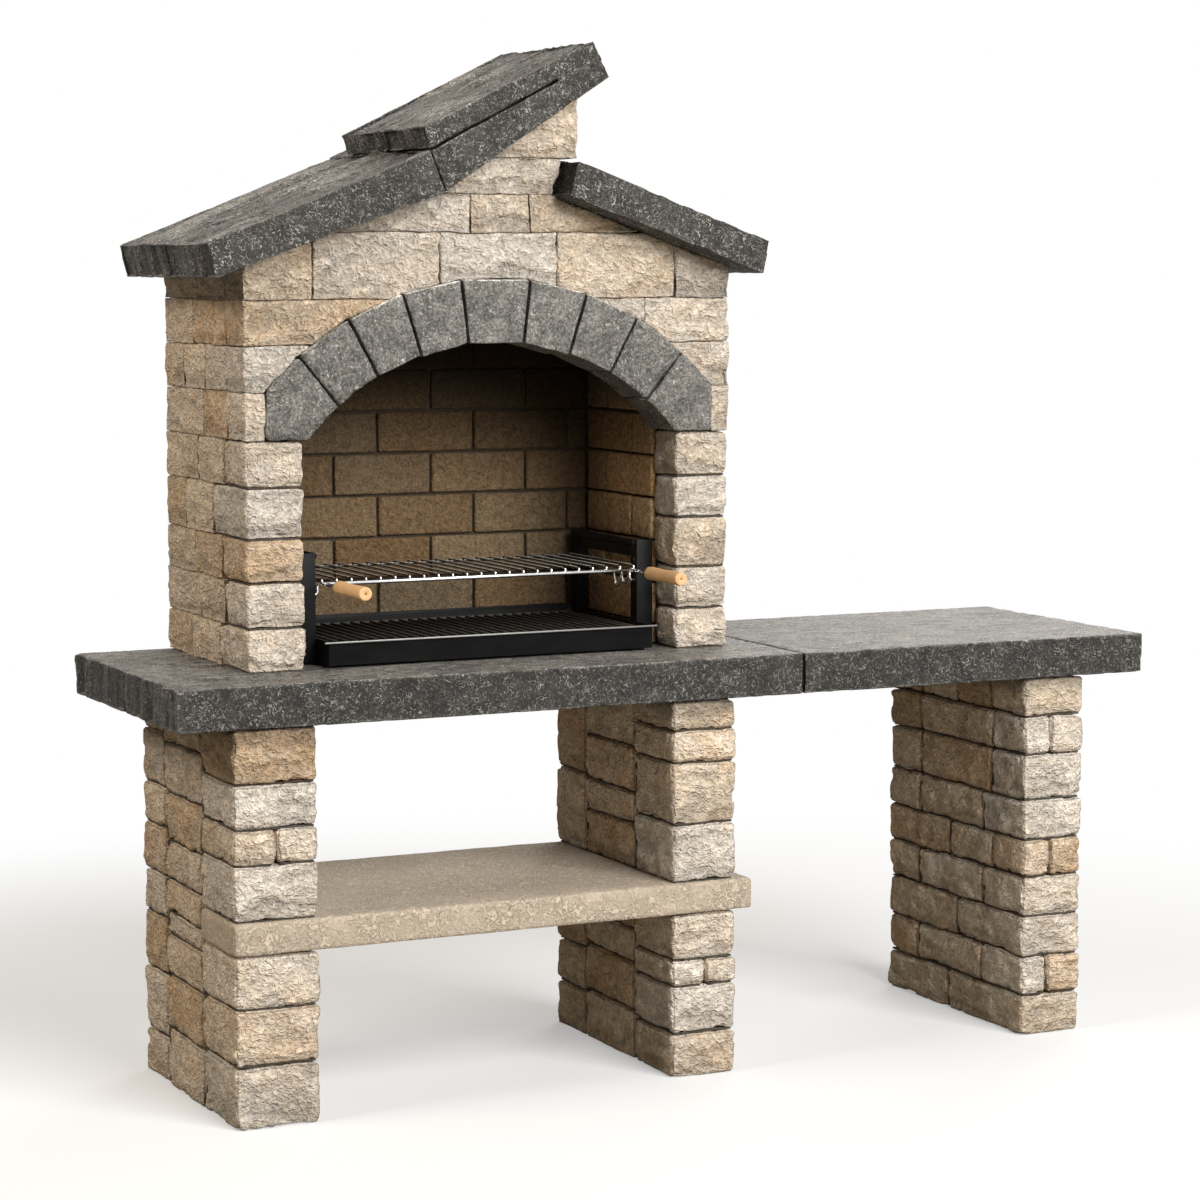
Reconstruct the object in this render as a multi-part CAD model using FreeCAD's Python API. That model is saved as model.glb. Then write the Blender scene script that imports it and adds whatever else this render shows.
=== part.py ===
import FreeCAD, Part
import math
import os

# Masonry barbecue: three stone piers, slate worktops, a log shelf, an arched stone hood with a
# stepped slate roof, a brick-lined hearth and a loose steel fire insert with a cooking grid.
# Sizes are millimetres. X runs from the worktop's left end, Y from its front edge to the back and
# Z up from the ground. write() moves the finished pieces to the middle of the base.

V = FreeCAD.Vector

# Worktop, shelf and piers
WORKTOP_TOP = 900
WORKTOP_THICK = 88
WORKTOP_DEPTH = 688
WORKTOP_SEAM_Y = 350
MAIN_LENGTH = 1408
TOTAL_LENGTH = 2288
SIDE_DEPTH = 650
PIER_FRONT = 10
PIER_BACK = 595
LEFT_PIER = (116, 300)
MIDDLE_PIER = (1096, 1251)
RIGHT_PIER = (1978, 2136)
MIDDLE_FRONT_JOINT = 200
REAR_JOINT = 445
LEFT_SPLIT = (1, 210)
MIDDLE_SPLIT = (2, 1176)
RIGHT_SPLIT_COURSES = (1, 4, 7)
RIGHT_SPLIT_X = 2050
SHELF_TOP = 422
SHELF_THICK = 67
SHELF_FRONT = 5
SHELF_RIGHT = 1284
SHELF_TONGUE_BACK = 215

# Hood
HOOD_LEFT = 212
HOOD_RIGHT = 1322
HOOD_FRONT = 187
HOOD_BACK = WORKTOP_DEPTH
JAMB_WIDTH = 131
FRONT_WALL = 109
BRICK_THICK = 16
BED_THICK = 10
BACK_WALL = 36
ARCH_PROUD = 10
SPRING_Z = 1372
SPRINGER_OVERHANG = 4
INTRADOS_RADIUS = 547
EXTRADOS_RADIUS = 680
SPRINGER_REACH = 509
SPRINGER_SHOULDER = 101
ARCH_JOINTS = (6.6, 18.0, 29.0, 40.0)
ROOF_FRONT = 107
ROOF_SEAM_Y = 397
CAP_SEAM_Y = 340
CAP_BACK = 572
GABLE_STEP_X = 962
GABLE_STEP_Z = 1950

# Roof slabs as seen from the front, (x, z)
EAVE_LEFT_TOP = (110, 1770)
EAVE_LEFT_BOTTOM = (128, 1700)
KINK_TOP = (591, 1960)
KINK_BOTTOM = (625, 1875)
TIP_BOTTOM = (997, 2117)
TIP_TOP = (976, 2157)
CAP_LEFT_TOP = (574, 2006)
CAP_RIGHT_TOP = (958, 2192)
RIGHT_UPPER_TOP = (922, 1946)
RIGHT_UPPER_BOTTOM = (903, 1870)
RIGHT_EAVE_BOTTOM = (1365, 1709)
RIGHT_EAVE_TOP = (1380, 1779)

# Fire insert
PAN_HALF_WIDTH = 373
PAN_FRONT = 195
PAN_BACK = 600
PAN_BOTTOM = 905
PAN_RIM = 955
PAN_BACK_RIM = 966
SHEET = 3
HEM_REACH = 10
FOOT_SIZE = 30
FOOT_INSET = 40
HEM_DROP = 5
UPRIGHT_WIDTH = 38
UPRIGHT_FLANGE = 30
UPRIGHT_FRONT = 270
UPRIGHT_TOP = 1133
SIDE_PLATE_HEIGHT = 38
SLOT_WIDTH = 8
SLOT_CLEARANCE = 0.4
SLOT_STEPS = (0, 0.5, 1)
NOTCH_HEIGHT = 7
NOTCH_DEPTH = 6
RIVET_RADIUS = 6
RIVET_TOP_RADIUS = 4
RIVET_HEIGHT = 2.5
GRATE_HALF_WIDTH = 358
GRATE_FRONT = 206
GRATE_BACK = 588
GRATE_TOP = 950
GRATE_BAR = 8
GRATE_WIRE = 5
GRATE_WIRES = 32
LEDGE_WIDTH = 20
LEDGE_THICK = 4
LEDGE_GAP = 0.2

# Cooking grid, its carriers and its grips
GRID_HALF_WIDTH = 364
GRID_FRONT = 262
GRID_BACK = 592
GRID_BAR = 6
GRID_FRONT_BAR = 9
GRID_WIRE = 5
GRID_WIRES = 23
GRID_BAR_Z = 1069
CARRIER_WIRE = 6
CARRIER_OFFSET = 363
CARRIER_PIN_REACH = 20
CARRIER_PIN_DROP = 18
CARRIER_RUN_GAP = 0.3
CARRIER_BEND = 7
CARRIER_TRAVEL = 45
GRIP_OFFSET = 357
GRIP_FRONT = 28
GRIP_BACK = 178
GRIP_RADIUS = 14.5
GRIP_ROUND = 4
GRIP_HOLE_RADIUS = 2
GRIP_HOLE_DEPTH = 12
ROD_DIAMETER = 5
ROD_SPACING = 12

# Edge easing that shows each joint as a groove
STONE_EASE = 6
SLAB_EASE = 5
BRICK_JOINT = 8
BRICK_LENGTH = 231
BRICK_COURSE = 92.5
FIRST_BRICK_COURSE = 44
LINING_TOP = 1592

# Worked out from the values above
WORKTOP_UNDER = WORKTOP_TOP - WORKTOP_THICK
SHELF_UNDER = SHELF_TOP - SHELF_THICK
HOOD_CENTRE = (HOOD_LEFT + HOOD_RIGHT) / 2
REVEAL_BACK = HOOD_FRONT + FRONT_WALL
LINING = BRICK_THICK + BED_THICK
SIDE_WALL = JAMB_WIDTH - LINING
BACK_WALL_FRONT = HOOD_BACK - BACK_WALL
LINING_BACK = BACK_WALL_FRONT - LINING
OPENING_LEFT = HOOD_LEFT + JAMB_WIDTH
OPENING_RIGHT = HOOD_RIGHT - JAMB_WIDTH
ARCH_HALF_SPAN = OPENING_RIGHT - HOOD_CENTRE - SPRINGER_OVERHANG
ARCH_CENTRE_Z = SPRING_Z - math.sqrt(INTRADOS_RADIUS ** 2 - ARCH_HALF_SPAN ** 2)
SLOT_LOW = GRID_BAR_Z - GRID_BAR / 2 - CARRIER_RUN_GAP - CARRIER_WIRE - CARRIER_PIN_DROP

# Course levels read from the ground up
LEFT_FRONT_LOWER = (0, 129, 244, SHELF_UNDER)
LEFT_FRONT_UPPER = (SHELF_TOP, 536, 609, 700, WORKTOP_UNDER)
LEFT_MIDDLE = (0, 124, 238, 326, 372, 443, 527, 628, 735, WORKTOP_UNDER)
LEFT_REAR = (0, 98, 233, 353, 445, 547, 634, 751, WORKTOP_UNDER)
MIDDLE_FRONT_LOWER = (0, 95, 197, 254, SHELF_UNDER)
MIDDLE_FRONT_UPPER = (SHELF_TOP, 547, 678, 748, WORKTOP_UNDER)
MIDDLE_CORE_LOWER = (0, 110, 215, 290, SHELF_UNDER)
MIDDLE_CORE_UPPER = (SHELF_TOP, 520, 590, 690, WORKTOP_UNDER)
MIDDLE_REAR_LOWER = (0, 103, 201, SHELF_UNDER)
MIDDLE_REAR_UPPER = (SHELF_TOP, 599, 749, WORKTOP_UNDER)
RIGHT_COURSES = (0, 92, 180, 271, 361, 445, 536, 638, 725, WORKTOP_UNDER)
RIGHT_JOINTS = ((328,), (181, 460), (287,), (181, 460), (139, 325), (186, 455), (151, 455), (145, 455),
                (151, 300, 455))
LEFT_HOOD_COURSES = (WORKTOP_TOP, 989, 1081, 1171, 1277, SPRING_Z, 1470, 1563, 1657, 1800)
LEFT_WALL_JOINTS = ((350, 530), (325, 470), (335, 500), (390, 560), (325, 480), (440,), (430, 560), (500,),
                    (470,))
RIGHT_HOOD_COURSES = (WORKTOP_TOP, 987, 1078, 1185, 1276, SPRING_Z, 1464, 1560, 1650, 1800)
RIGHT_WALL_JOINTS = ((370, 520), (325, 480), (350, 540), (330, 450), (380, 560), (450,), (520,), (440,),
                     (500,))
GABLE_COURSES = (SPRING_Z, 1470, 1563, 1657, 1795, 1873, GABLE_STEP_Z, 2100)
GABLE_JOINTS = ((600,), (700,), (1116,), (363, 645, 912, 1190), (712, 849), (), ())
BACK_COURSES = (WORKTOP_TOP, 993, 1086, 1179, 1272, 1365, 1458, 1551, 1644)
BACK_GABLE_COURSES = (1644, 1730, 1795, 1873, GABLE_STEP_Z, 2100)
BACK_STONE_LENGTH = 226


# Basic shapes

def block(x0, x1, y0, y1, z0, z1):
    """A box between two corners."""
    return Part.makeBox(x1 - x0, y1 - y0, z1 - z0, V(x0, y0, z0))


def upright_prism(outline, z0, z1):
    """A plan outline of (x, y) points raised from z0 to z1."""
    points = [V(x, y, z0) for x, y in outline]
    return Part.Face(Part.makePolygon(points + points[:1])).extrude(V(0, 0, z1 - z0))


def front_prism(outline, y0, y1):
    """An outline of (x, z) points seen from the front, run back from y0 to y1."""
    points = [V(x, y0, z) for x, z in outline]
    return Part.Face(Part.makePolygon(points + points[:1])).extrude(V(0, y1 - y0, 0))


def rod(start, end, diameter):
    """A straight round bar between two points."""
    start, end = V(*start), V(*end)
    return Part.makeCylinder(diameter / 2, (end - start).Length, start, end - start)


def bent_wire(points, diameter, bend):
    """A round wire along straight runs with an arc of radius bend at each corner."""
    points = [V(*point) for point in points]
    edges = []
    start = points[0]
    for before, corner, after in zip(points, points[1:], points[2:]):
        back = (before - corner).normalize()
        ahead = (after - corner).normalize()
        half_turn = (math.pi - back.getAngle(ahead)) / 2
        cut = bend * math.tan(half_turn)
        arc_start = corner + back * cut
        arc_end = corner + ahead * cut
        inward = (back + ahead).normalize()
        arc_middle = corner + inward * (bend / math.cos(half_turn) - bend)
        edges.append(Part.LineSegment(start, arc_start).toShape())
        edges.append(Part.Arc(arc_start, arc_middle, arc_end).toShape())
        start = arc_end
    edges.append(Part.LineSegment(start, points[-1]).toShape())
    section = Part.Wire(Part.makeCircle(diameter / 2, points[0], points[1] - points[0]))
    return Part.Wire(edges).makePipeShell([section], True, False)


def eased(solid, size, sharp=()):
    """Chamfer a solid's edges, apart from those that touch a point of the sharp list."""
    edges = []
    for edge in solid.Edges:
        ends = [vertex.Point for vertex in edge.Vertexes]
        if not any(abs(end.x - x) < 0.01 and abs(end.y - y) < 0.01 for end in ends for x, y in sharp):
            edges.append(edge)
    return solid.makeChamfer(size, edges).Solids[0]


def face_eased(solid, y, size):
    """Chamfer the rim of a stone's face that lies at depth y, unless the stone is too slim for it."""
    rim = [edge for edge in solid.Edges if all(abs(vertex.Point.y - y) < 0.01 for vertex in edge.Vertexes)]
    face = Part.Face(Part.Wire(Part.__sortEdges__(rim)))
    if min(edge.Length for edge in rim) < 4 * size or face.Area / face.Length < 2 * size:
        return solid
    return solid.makeChamfer(size, rim).Solids[0]


def mirrored(solid):
    """The same piece on the other side of the hood's middle."""
    return solid.mirror(V(HOOD_CENTRE, 0, 0), V(1, 0, 0))


def line_z(start, end, x):
    """Height at x on the line through two (x, z) points."""
    return start[1] + (end[1] - start[1]) * (x - start[0]) / (end[0] - start[0])


def spans(ends, joints):
    """The stretches that a list of joints divides the space between two ends into."""
    marks = [ends[0], *joints, ends[1]]
    return list(zip(marks, marks[1:]))


# Piers, shelf and worktop

def column(x_range, y_range, levels, split=None):
    """One column of a pier's stones; split is a course and where that course is two stones wide."""
    stones = []
    for course, (low, high) in enumerate(zip(levels, levels[1:])):
        joints = [split[1]] if split and split[0] == course else []
        for left, right in spans(x_range, joints):
            stones.append(eased(block(left, right, *y_range, low, high), STONE_EASE))
    return stones


def left_pier():
    front = (PIER_FRONT, SHELF_TONGUE_BACK)
    core = (SHELF_TONGUE_BACK, REAR_JOINT)
    rear = (REAR_JOINT, PIER_BACK)
    behind = column(LEFT_PIER, core, LEFT_MIDDLE) + column(LEFT_PIER, rear, LEFT_REAR)
    return {"left_pier_front_lower_stones": column(LEFT_PIER, front, LEFT_FRONT_LOWER),
            "left_pier_front_upper_stones": column(LEFT_PIER, front, LEFT_FRONT_UPPER, LEFT_SPLIT),
            "left_pier_rear_stones": behind}


def middle_pier():
    front = (PIER_FRONT, MIDDLE_FRONT_JOINT)
    core = (MIDDLE_FRONT_JOINT, REAR_JOINT)
    rear = (REAR_JOINT, PIER_BACK)
    lower = (column(MIDDLE_PIER, front, MIDDLE_FRONT_LOWER, MIDDLE_SPLIT)
             + column(MIDDLE_PIER, core, MIDDLE_CORE_LOWER)
             + column(MIDDLE_PIER, rear, MIDDLE_REAR_LOWER))
    upper = (column(MIDDLE_PIER, front, MIDDLE_FRONT_UPPER)
             + column(MIDDLE_PIER, core, MIDDLE_CORE_UPPER)
             + column(MIDDLE_PIER, rear, MIDDLE_REAR_UPPER))
    return {"middle_pier_lower_stones": lower, "middle_pier_upper_stones": upper}


def right_pier():
    stones = []
    levels = zip(RIGHT_COURSES, RIGHT_COURSES[1:])
    for course, ((low, high), joints) in enumerate(zip(levels, RIGHT_JOINTS)):
        for place, (front, back) in enumerate(spans((PIER_FRONT, PIER_BACK), joints)):
            halves = [RIGHT_SPLIT_X] if course in RIGHT_SPLIT_COURSES and place == 0 else []
            for left, right in spans(RIGHT_PIER, halves):
                stones.append(eased(block(left, right, front, back, low, high), STONE_EASE))
    return {"right_pier_stones": stones}


def shelf_and_worktop():
    left, inner = LEFT_PIER
    shelf_plan = ((left, SHELF_FRONT), (SHELF_RIGHT, SHELF_FRONT), (SHELF_RIGHT, PIER_BACK),
                  (inner, PIER_BACK), (inner, SHELF_TONGUE_BACK), (left, SHELF_TONGUE_BACK))
    shelf = eased(upright_prism(shelf_plan, SHELF_UNDER, SHELF_TOP), SLAB_EASE, [(inner, SHELF_TONGUE_BACK)])
    heights = (WORKTOP_UNDER, WORKTOP_TOP)
    front = eased(block(0, MAIN_LENGTH, 0, WORKTOP_SEAM_Y, *heights), SLAB_EASE)
    rear = eased(block(0, MAIN_LENGTH, WORKTOP_SEAM_Y, WORKTOP_DEPTH, *heights), SLAB_EASE)
    side = eased(block(MAIN_LENGTH, TOTAL_LENGTH, 0, SIDE_DEPTH, *heights), SLAB_EASE)
    return {"log_shelf": [shelf], "worktop_front_slab": [front], "worktop_rear_slab": [rear],
            "side_worktop_slab": [side]}


# Hood walls, arch and gables

def hood_profile():
    """Outline of the hood walls under the roof slabs, seen from the front."""
    return ((HOOD_LEFT, WORKTOP_TOP), (HOOD_RIGHT, WORKTOP_TOP),
            (HOOD_RIGHT, line_z(RIGHT_UPPER_BOTTOM, RIGHT_EAVE_BOTTOM, HOOD_RIGHT)),
            RIGHT_UPPER_BOTTOM, RIGHT_UPPER_TOP,
            (RIGHT_UPPER_TOP[0], GABLE_STEP_Z), (GABLE_STEP_X, GABLE_STEP_Z),
            (GABLE_STEP_X, line_z(KINK_BOTTOM, TIP_BOTTOM, GABLE_STEP_X)), KINK_BOTTOM,
            (HOOD_LEFT, line_z(EAVE_LEFT_BOTTOM, KINK_BOTTOM, HOOD_LEFT)))


def arch_point(radius, degrees):
    """A point of the arch, measured from its crown, as (x, z)."""
    angle = math.radians(degrees)
    return (HOOD_CENTRE + radius * math.sin(angle), ARCH_CENTRE_Z + radius * math.cos(angle))


def springer_outline(side):
    """Straight part of a springer's outline, from its outer foot to the joint with the next stone."""
    foot = HOOD_CENTRE + side * SPRINGER_REACH
    return [(foot, SPRING_Z), (foot, SPRING_Z + SPRINGER_SHOULDER),
            arch_point(EXTRADOS_RADIUS, side * ARCH_JOINTS[-1])]


def arch_cut():
    """Everything below the arch's outer line, which the front wall leaves open."""
    right_angles = ARCH_JOINTS[:-1]
    left_angles = [-angle for angle in reversed(right_angles)]
    tops = [arch_point(EXTRADOS_RADIUS, angle) for angle in (*left_angles, *right_angles)]
    outline = springer_outline(-1) + tops + springer_outline(1)[::-1]
    return front_prism(outline, HOOD_FRONT, REVEAL_BACK)


def arch_stone(low, high, outer):
    """A stone of the arch between two joint angles, with its outer outline as straight lines."""
    y = HOOD_FRONT - ARCH_PROUD
    inner = [arch_point(INTRADOS_RADIUS, angle) for angle in (low, (low + high) / 2, high)]
    inner = [V(x, y, z) for x, z in inner]
    outer = [V(x, y, z) for x, z in outer]
    edges = [Part.Arc(*inner).toShape()]
    path = [inner[2], *outer, inner[0]]
    edges += [Part.LineSegment(a, b).toShape() for a, b in zip(path, path[1:])]
    stone = Part.Face(Part.Wire(edges)).extrude(V(0, REVEAL_BACK - y, 0))
    rim = [edge for edge in stone.Edges if edge.Curve.TypeId == "Part::GeomLine"
           and all(abs(vertex.Point.y - y) < 0.01 for vertex in edge.Vertexes)]
    return stone.makeChamfer(SLAB_EASE, rim).Solids[0]


def arch():
    """Nine stones: a springer each side, three voussoirs each side and the keystone."""
    names = ("high", "middle", "low")
    nodes = {"arch_keystone": [arch_stone(-ARCH_JOINTS[0], ARCH_JOINTS[0],
                                          [arch_point(EXTRADOS_RADIUS, ARCH_JOINTS[0]),
                                           arch_point(EXTRADOS_RADIUS, -ARCH_JOINTS[0])])]}
    for name, (near, far) in zip(names, zip(ARCH_JOINTS, ARCH_JOINTS[1:])):
        for side_name, side in (("left", -1), ("right", 1)):
            outer = [arch_point(EXTRADOS_RADIUS, side * far), arch_point(EXTRADOS_RADIUS, side * near)]
            nodes[f"arch_voussoir_{side_name}_{name}"] = [arch_stone(side * near, side * far, outer)]
    spring_angle = math.degrees(math.acos((SPRING_Z - ARCH_CENTRE_Z) / INTRADOS_RADIUS))
    for side_name, side in (("left", -1), ("right", 1)):
        outer = springer_outline(side)
        nodes[f"arch_springer_{side_name}"] = [arch_stone(side * ARCH_JOINTS[-1], side * spring_angle, outer)]
    return nodes


def jamb_and_wall(courses, joints, roof):
    """Corner stones beside the hearth and the side wall behind them, for the left side."""
    corner_courses = [course for course, level in enumerate(courses[:-1]) if level < SPRING_Z]
    inner = HOOD_LEFT + SIDE_WALL
    jamb = []
    wall = []
    for course, marks in enumerate(joints):
        low, high = courses[course], courses[course + 1]
        if course in corner_courses:
            plan = ((HOOD_LEFT, HOOD_FRONT), (OPENING_LEFT, HOOD_FRONT), (OPENING_LEFT, REVEAL_BACK),
                    (inner, REVEAL_BACK), (inner, marks[0]), (HOOD_LEFT, marks[0]))
            jamb.append(eased(upright_prism(plan, low, high), STONE_EASE, [(inner, REVEAL_BACK)]))
            stretches = spans((marks[0], HOOD_BACK), marks[1:])
        else:
            stretches = spans((REVEAL_BACK, HOOD_BACK), marks)
        for front, back in stretches:
            stone = block(HOOD_LEFT, inner, front, back, low, high).common(roof).Solids[0]
            wall.append(eased(stone, STONE_EASE))
    return jamb, wall


def gable(x_range, y_range, courses, joints, outer_y, room):
    """Stones of a front or back wall, cut to fit the room that the roof and the arch leave."""
    stones = []
    for low, high, marks in zip(courses, courses[1:], joints):
        for left, right in spans(x_range, marks):
            for piece in block(left, right, *y_range, low, high).common(room).Solids:
                stones.append(face_eased(piece, outer_y, STONE_EASE))
    return stones


def back_joints(course):
    """Running bond: joints of one course of the back wall."""
    left = HOOD_LEFT + SIDE_WALL
    right = HOOD_RIGHT - SIDE_WALL
    first = left + BACK_STONE_LENGTH * (0.5 if course % 2 else 1)
    count = int((right - first - BACK_STONE_LENGTH / 4) / BACK_STONE_LENGTH) + 1
    return [first + BACK_STONE_LENGTH * number for number in range(count)]


def hood():
    room = front_prism(hood_profile(), HOOD_FRONT, HOOD_BACK)
    mirrored_room = mirrored(room)
    front_room = room.cut(arch_cut())
    left_jamb, left_wall = jamb_and_wall(LEFT_HOOD_COURSES, LEFT_WALL_JOINTS, room)
    right_jamb, right_wall = jamb_and_wall(RIGHT_HOOD_COURSES, RIGHT_WALL_JOINTS, mirrored_room)
    nodes = {"left_jamb_stones": left_jamb, "left_wall_stones": left_wall,
             "right_jamb_stones": [mirrored(stone) for stone in right_jamb],
             "right_wall_stones": [mirrored(stone) for stone in right_wall]}
    nodes["front_gable_stones"] = gable((HOOD_LEFT, HOOD_RIGHT), (HOOD_FRONT, REVEAL_BACK), GABLE_COURSES,
                                        GABLE_JOINTS, HOOD_FRONT, front_room)
    inside = (HOOD_LEFT + SIDE_WALL, HOOD_RIGHT - SIDE_WALL)
    for name, courses in (("back_wall_stones", BACK_COURSES), ("back_gable_stones", BACK_GABLE_COURSES)):
        joints = [back_joints(course) for course in range(len(courses) - 1)]
        nodes[name] = gable(inside, (BACK_WALL_FRONT, HOOD_BACK), courses, joints, HOOD_BACK, room)
    return nodes


def roof():
    outlines = {"roof_left": (EAVE_LEFT_TOP, EAVE_LEFT_BOTTOM, KINK_BOTTOM, KINK_TOP),
                "roof_ridge": (KINK_TOP, KINK_BOTTOM, TIP_BOTTOM, TIP_TOP),
                "roof_right": (RIGHT_UPPER_TOP, RIGHT_UPPER_BOTTOM, RIGHT_EAVE_BOTTOM, RIGHT_EAVE_TOP),
                "roof_cap": (KINK_TOP, TIP_TOP, CAP_RIGHT_TOP, CAP_LEFT_TOP)}
    nodes = {}
    for name, outline in outlines.items():
        seam, back = (CAP_SEAM_Y, CAP_BACK) if name == "roof_cap" else (ROOF_SEAM_Y, HOOD_BACK)
        nodes[name + "_front_slab"] = [eased(front_prism(outline, ROOF_FRONT, seam), SLAB_EASE)]
        nodes[name + "_rear_slab"] = [eased(front_prism(outline, seam, back), SLAB_EASE)]
    return nodes


# Firebrick lining

def brick_rows(start, end):
    """Running bond along one wall: (from, to, low, high) of each brick."""
    levels = [WORKTOP_TOP]
    level = WORKTOP_TOP + FIRST_BRICK_COURSE
    while level <= LINING_TOP:
        levels.append(level)
        level += BRICK_COURSE
    rows = []
    half = BRICK_JOINT / 2
    for course, (low, high) in enumerate(zip(levels, levels[1:])):
        first = start + BRICK_LENGTH * (0.45 if course % 2 else 1)
        count = int((end - first - BRICK_LENGTH / 5) / BRICK_LENGTH) + 1
        joints = [first + BRICK_LENGTH * number for number in range(count)]
        for left, right in spans((start, end), joints):
            rows.append((left + half, right - half, low + half, high - half))
    return rows


def lining():
    left_bed = HOOD_LEFT + SIDE_WALL
    left_face = (left_bed + BED_THICK, OPENING_LEFT)
    back_face = (LINING_BACK, LINING_BACK + BRICK_THICK)
    left_bricks = [block(*left_face, *row) for row in brick_rows(REVEAL_BACK, LINING_BACK)]
    back_bricks = [block(left, right, *back_face, low, high)
                   for left, right, low, high in brick_rows(OPENING_LEFT, OPENING_RIGHT)]
    side_bed = block(left_bed, left_bed + BED_THICK, REVEAL_BACK, BACK_WALL_FRONT, WORKTOP_TOP, LINING_TOP)
    back_bed = block(left_bed + BED_THICK, HOOD_RIGHT - SIDE_WALL - BED_THICK,
                     LINING_BACK + BRICK_THICK, BACK_WALL_FRONT, WORKTOP_TOP, LINING_TOP)
    right_bricks = [mirrored(brick) for brick in left_bricks]
    return {"firebox_left_bricks": left_bricks, "firebox_right_bricks": right_bricks,
            "firebox_back_bricks": back_bricks, "firebox_left_mortar_bed": [side_bed],
            "firebox_right_mortar_bed": [mirrored(side_bed)], "firebox_back_mortar_bed": [back_bed]}


# Fire insert

def ember_pan():
    """Folded pan with a hem along its front rim and a ledge inside each end for the grate."""
    left, right = HOOD_CENTRE - PAN_HALF_WIDTH, HOOD_CENTRE + PAN_HALF_WIDTH
    inner_front, inner_back = PAN_FRONT + SHEET, PAN_BACK - SHEET
    pan = block(left, right, PAN_FRONT, PAN_BACK, PAN_BOTTOM, PAN_BACK_RIM)
    inside = block(left + SHEET, right - SHEET, inner_front, inner_back, PAN_BOTTOM + SHEET, PAN_BACK_RIM)
    lowered = block(left, right, PAN_FRONT, inner_back, PAN_RIM, PAN_BACK_RIM)
    hem = block(left - HEM_REACH, right + HEM_REACH, PAN_FRONT - HEM_DROP, inner_front,
                PAN_RIM - HEM_DROP, PAN_RIM)
    ledge_top = GRATE_TOP - GRATE_BAR - LEDGE_GAP
    ledge = block(left, left + SHEET + LEDGE_WIDTH, inner_front, inner_back,
                  ledge_top - LEDGE_THICK, ledge_top)
    pan = pan.cut(inside).cut(lowered)
    return pan.multiFuse([hem, ledge, mirrored(ledge)]).removeSplitter().Solids[0]


def pan_feet():
    """Square pads that hold the pan just off the worktop."""
    feet = []
    reach = PAN_HALF_WIDTH - FOOT_INSET
    for x in (HOOD_CENTRE - reach, HOOD_CENTRE + reach - FOOT_SIZE):
        for y in (PAN_FRONT + FOOT_INSET, PAN_BACK - FOOT_INSET - FOOT_SIZE):
            feet.append(block(x, x + FOOT_SIZE, y, y + FOOT_SIZE, WORKTOP_TOP, PAN_BOTTOM))
    return feet


def carrier_slot(y):
    """Notched slot that a carrier's pin rides in, cut through a left upright's flange."""
    inner = HOOD_CENTRE - PAN_HALF_WIDTH
    top = SLOT_LOW + CARRIER_WIRE + CARRIER_TRAVEL
    through = (inner - 2 * SHEET, inner + 1)
    half = SLOT_WIDTH / 2
    slot = block(*through, y - half, y + half, SLOT_LOW - SLOT_CLEARANCE, top + SLOT_CLEARANCE)
    for step in SLOT_STEPS:
        low = SLOT_LOW - SLOT_CLEARANCE + step * CARRIER_TRAVEL
        slot = slot.fuse(block(*through, y, y + half + NOTCH_DEPTH, low, low + NOTCH_HEIGHT))
    return slot


def pin_depths():
    """Depth of the front and rear slots and carrier pins."""
    middle = UPRIGHT_FLANGE / 2
    return (UPRIGHT_FRONT + middle, PAN_BACK - middle)


def left_upright(front):
    """An angle bolted to the pan's left side, with one flange facing the front or the back."""
    inner = HOOD_CENTRE - PAN_HALF_WIDTH
    outer = inner - UPRIGHT_WIDTH
    face, inward = (UPRIGHT_FRONT, 1) if front else (PAN_BACK, -1)
    plan = ((outer, face), (inner, face), (inner, face + inward * UPRIGHT_FLANGE),
            (inner - SHEET, face + inward * UPRIGHT_FLANGE), (inner - SHEET, face + inward * SHEET),
            (outer, face + inward * SHEET))
    angle = upright_prism(plan, PAN_BOTTOM, UPRIGHT_TOP)
    return angle.cut(carrier_slot(pin_depths()[0 if front else 1])).Solids[0]


def left_side_plate():
    outer = HOOD_CENTRE - PAN_HALF_WIDTH - SHEET
    low = UPRIGHT_TOP - SIDE_PLATE_HEIGHT
    return block(outer - SHEET, outer, UPRIGHT_FRONT + SHEET, PAN_BACK - SHEET, low, UPRIGHT_TOP)


def rivet(x, y, z):
    """Domed head that stands out to the left of x."""
    return Part.makeCone(RIVET_RADIUS, RIVET_TOP_RADIUS, RIVET_HEIGHT, V(x, y, z), V(-1, 0, 0))


def frame_rivets():
    flange = HOOD_CENTRE - PAN_HALF_WIDTH - SHEET
    foot_z = (PAN_BOTTOM + PAN_RIM) / 2
    plate_z = UPRIGHT_TOP - SIDE_PLATE_HEIGHT / 2
    left = [rivet(flange, y, foot_z) for y in pin_depths()]
    left += [rivet(flange - SHEET, y, plate_z) for y in pin_depths()]
    return left + [mirrored(head) for head in left]


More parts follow.
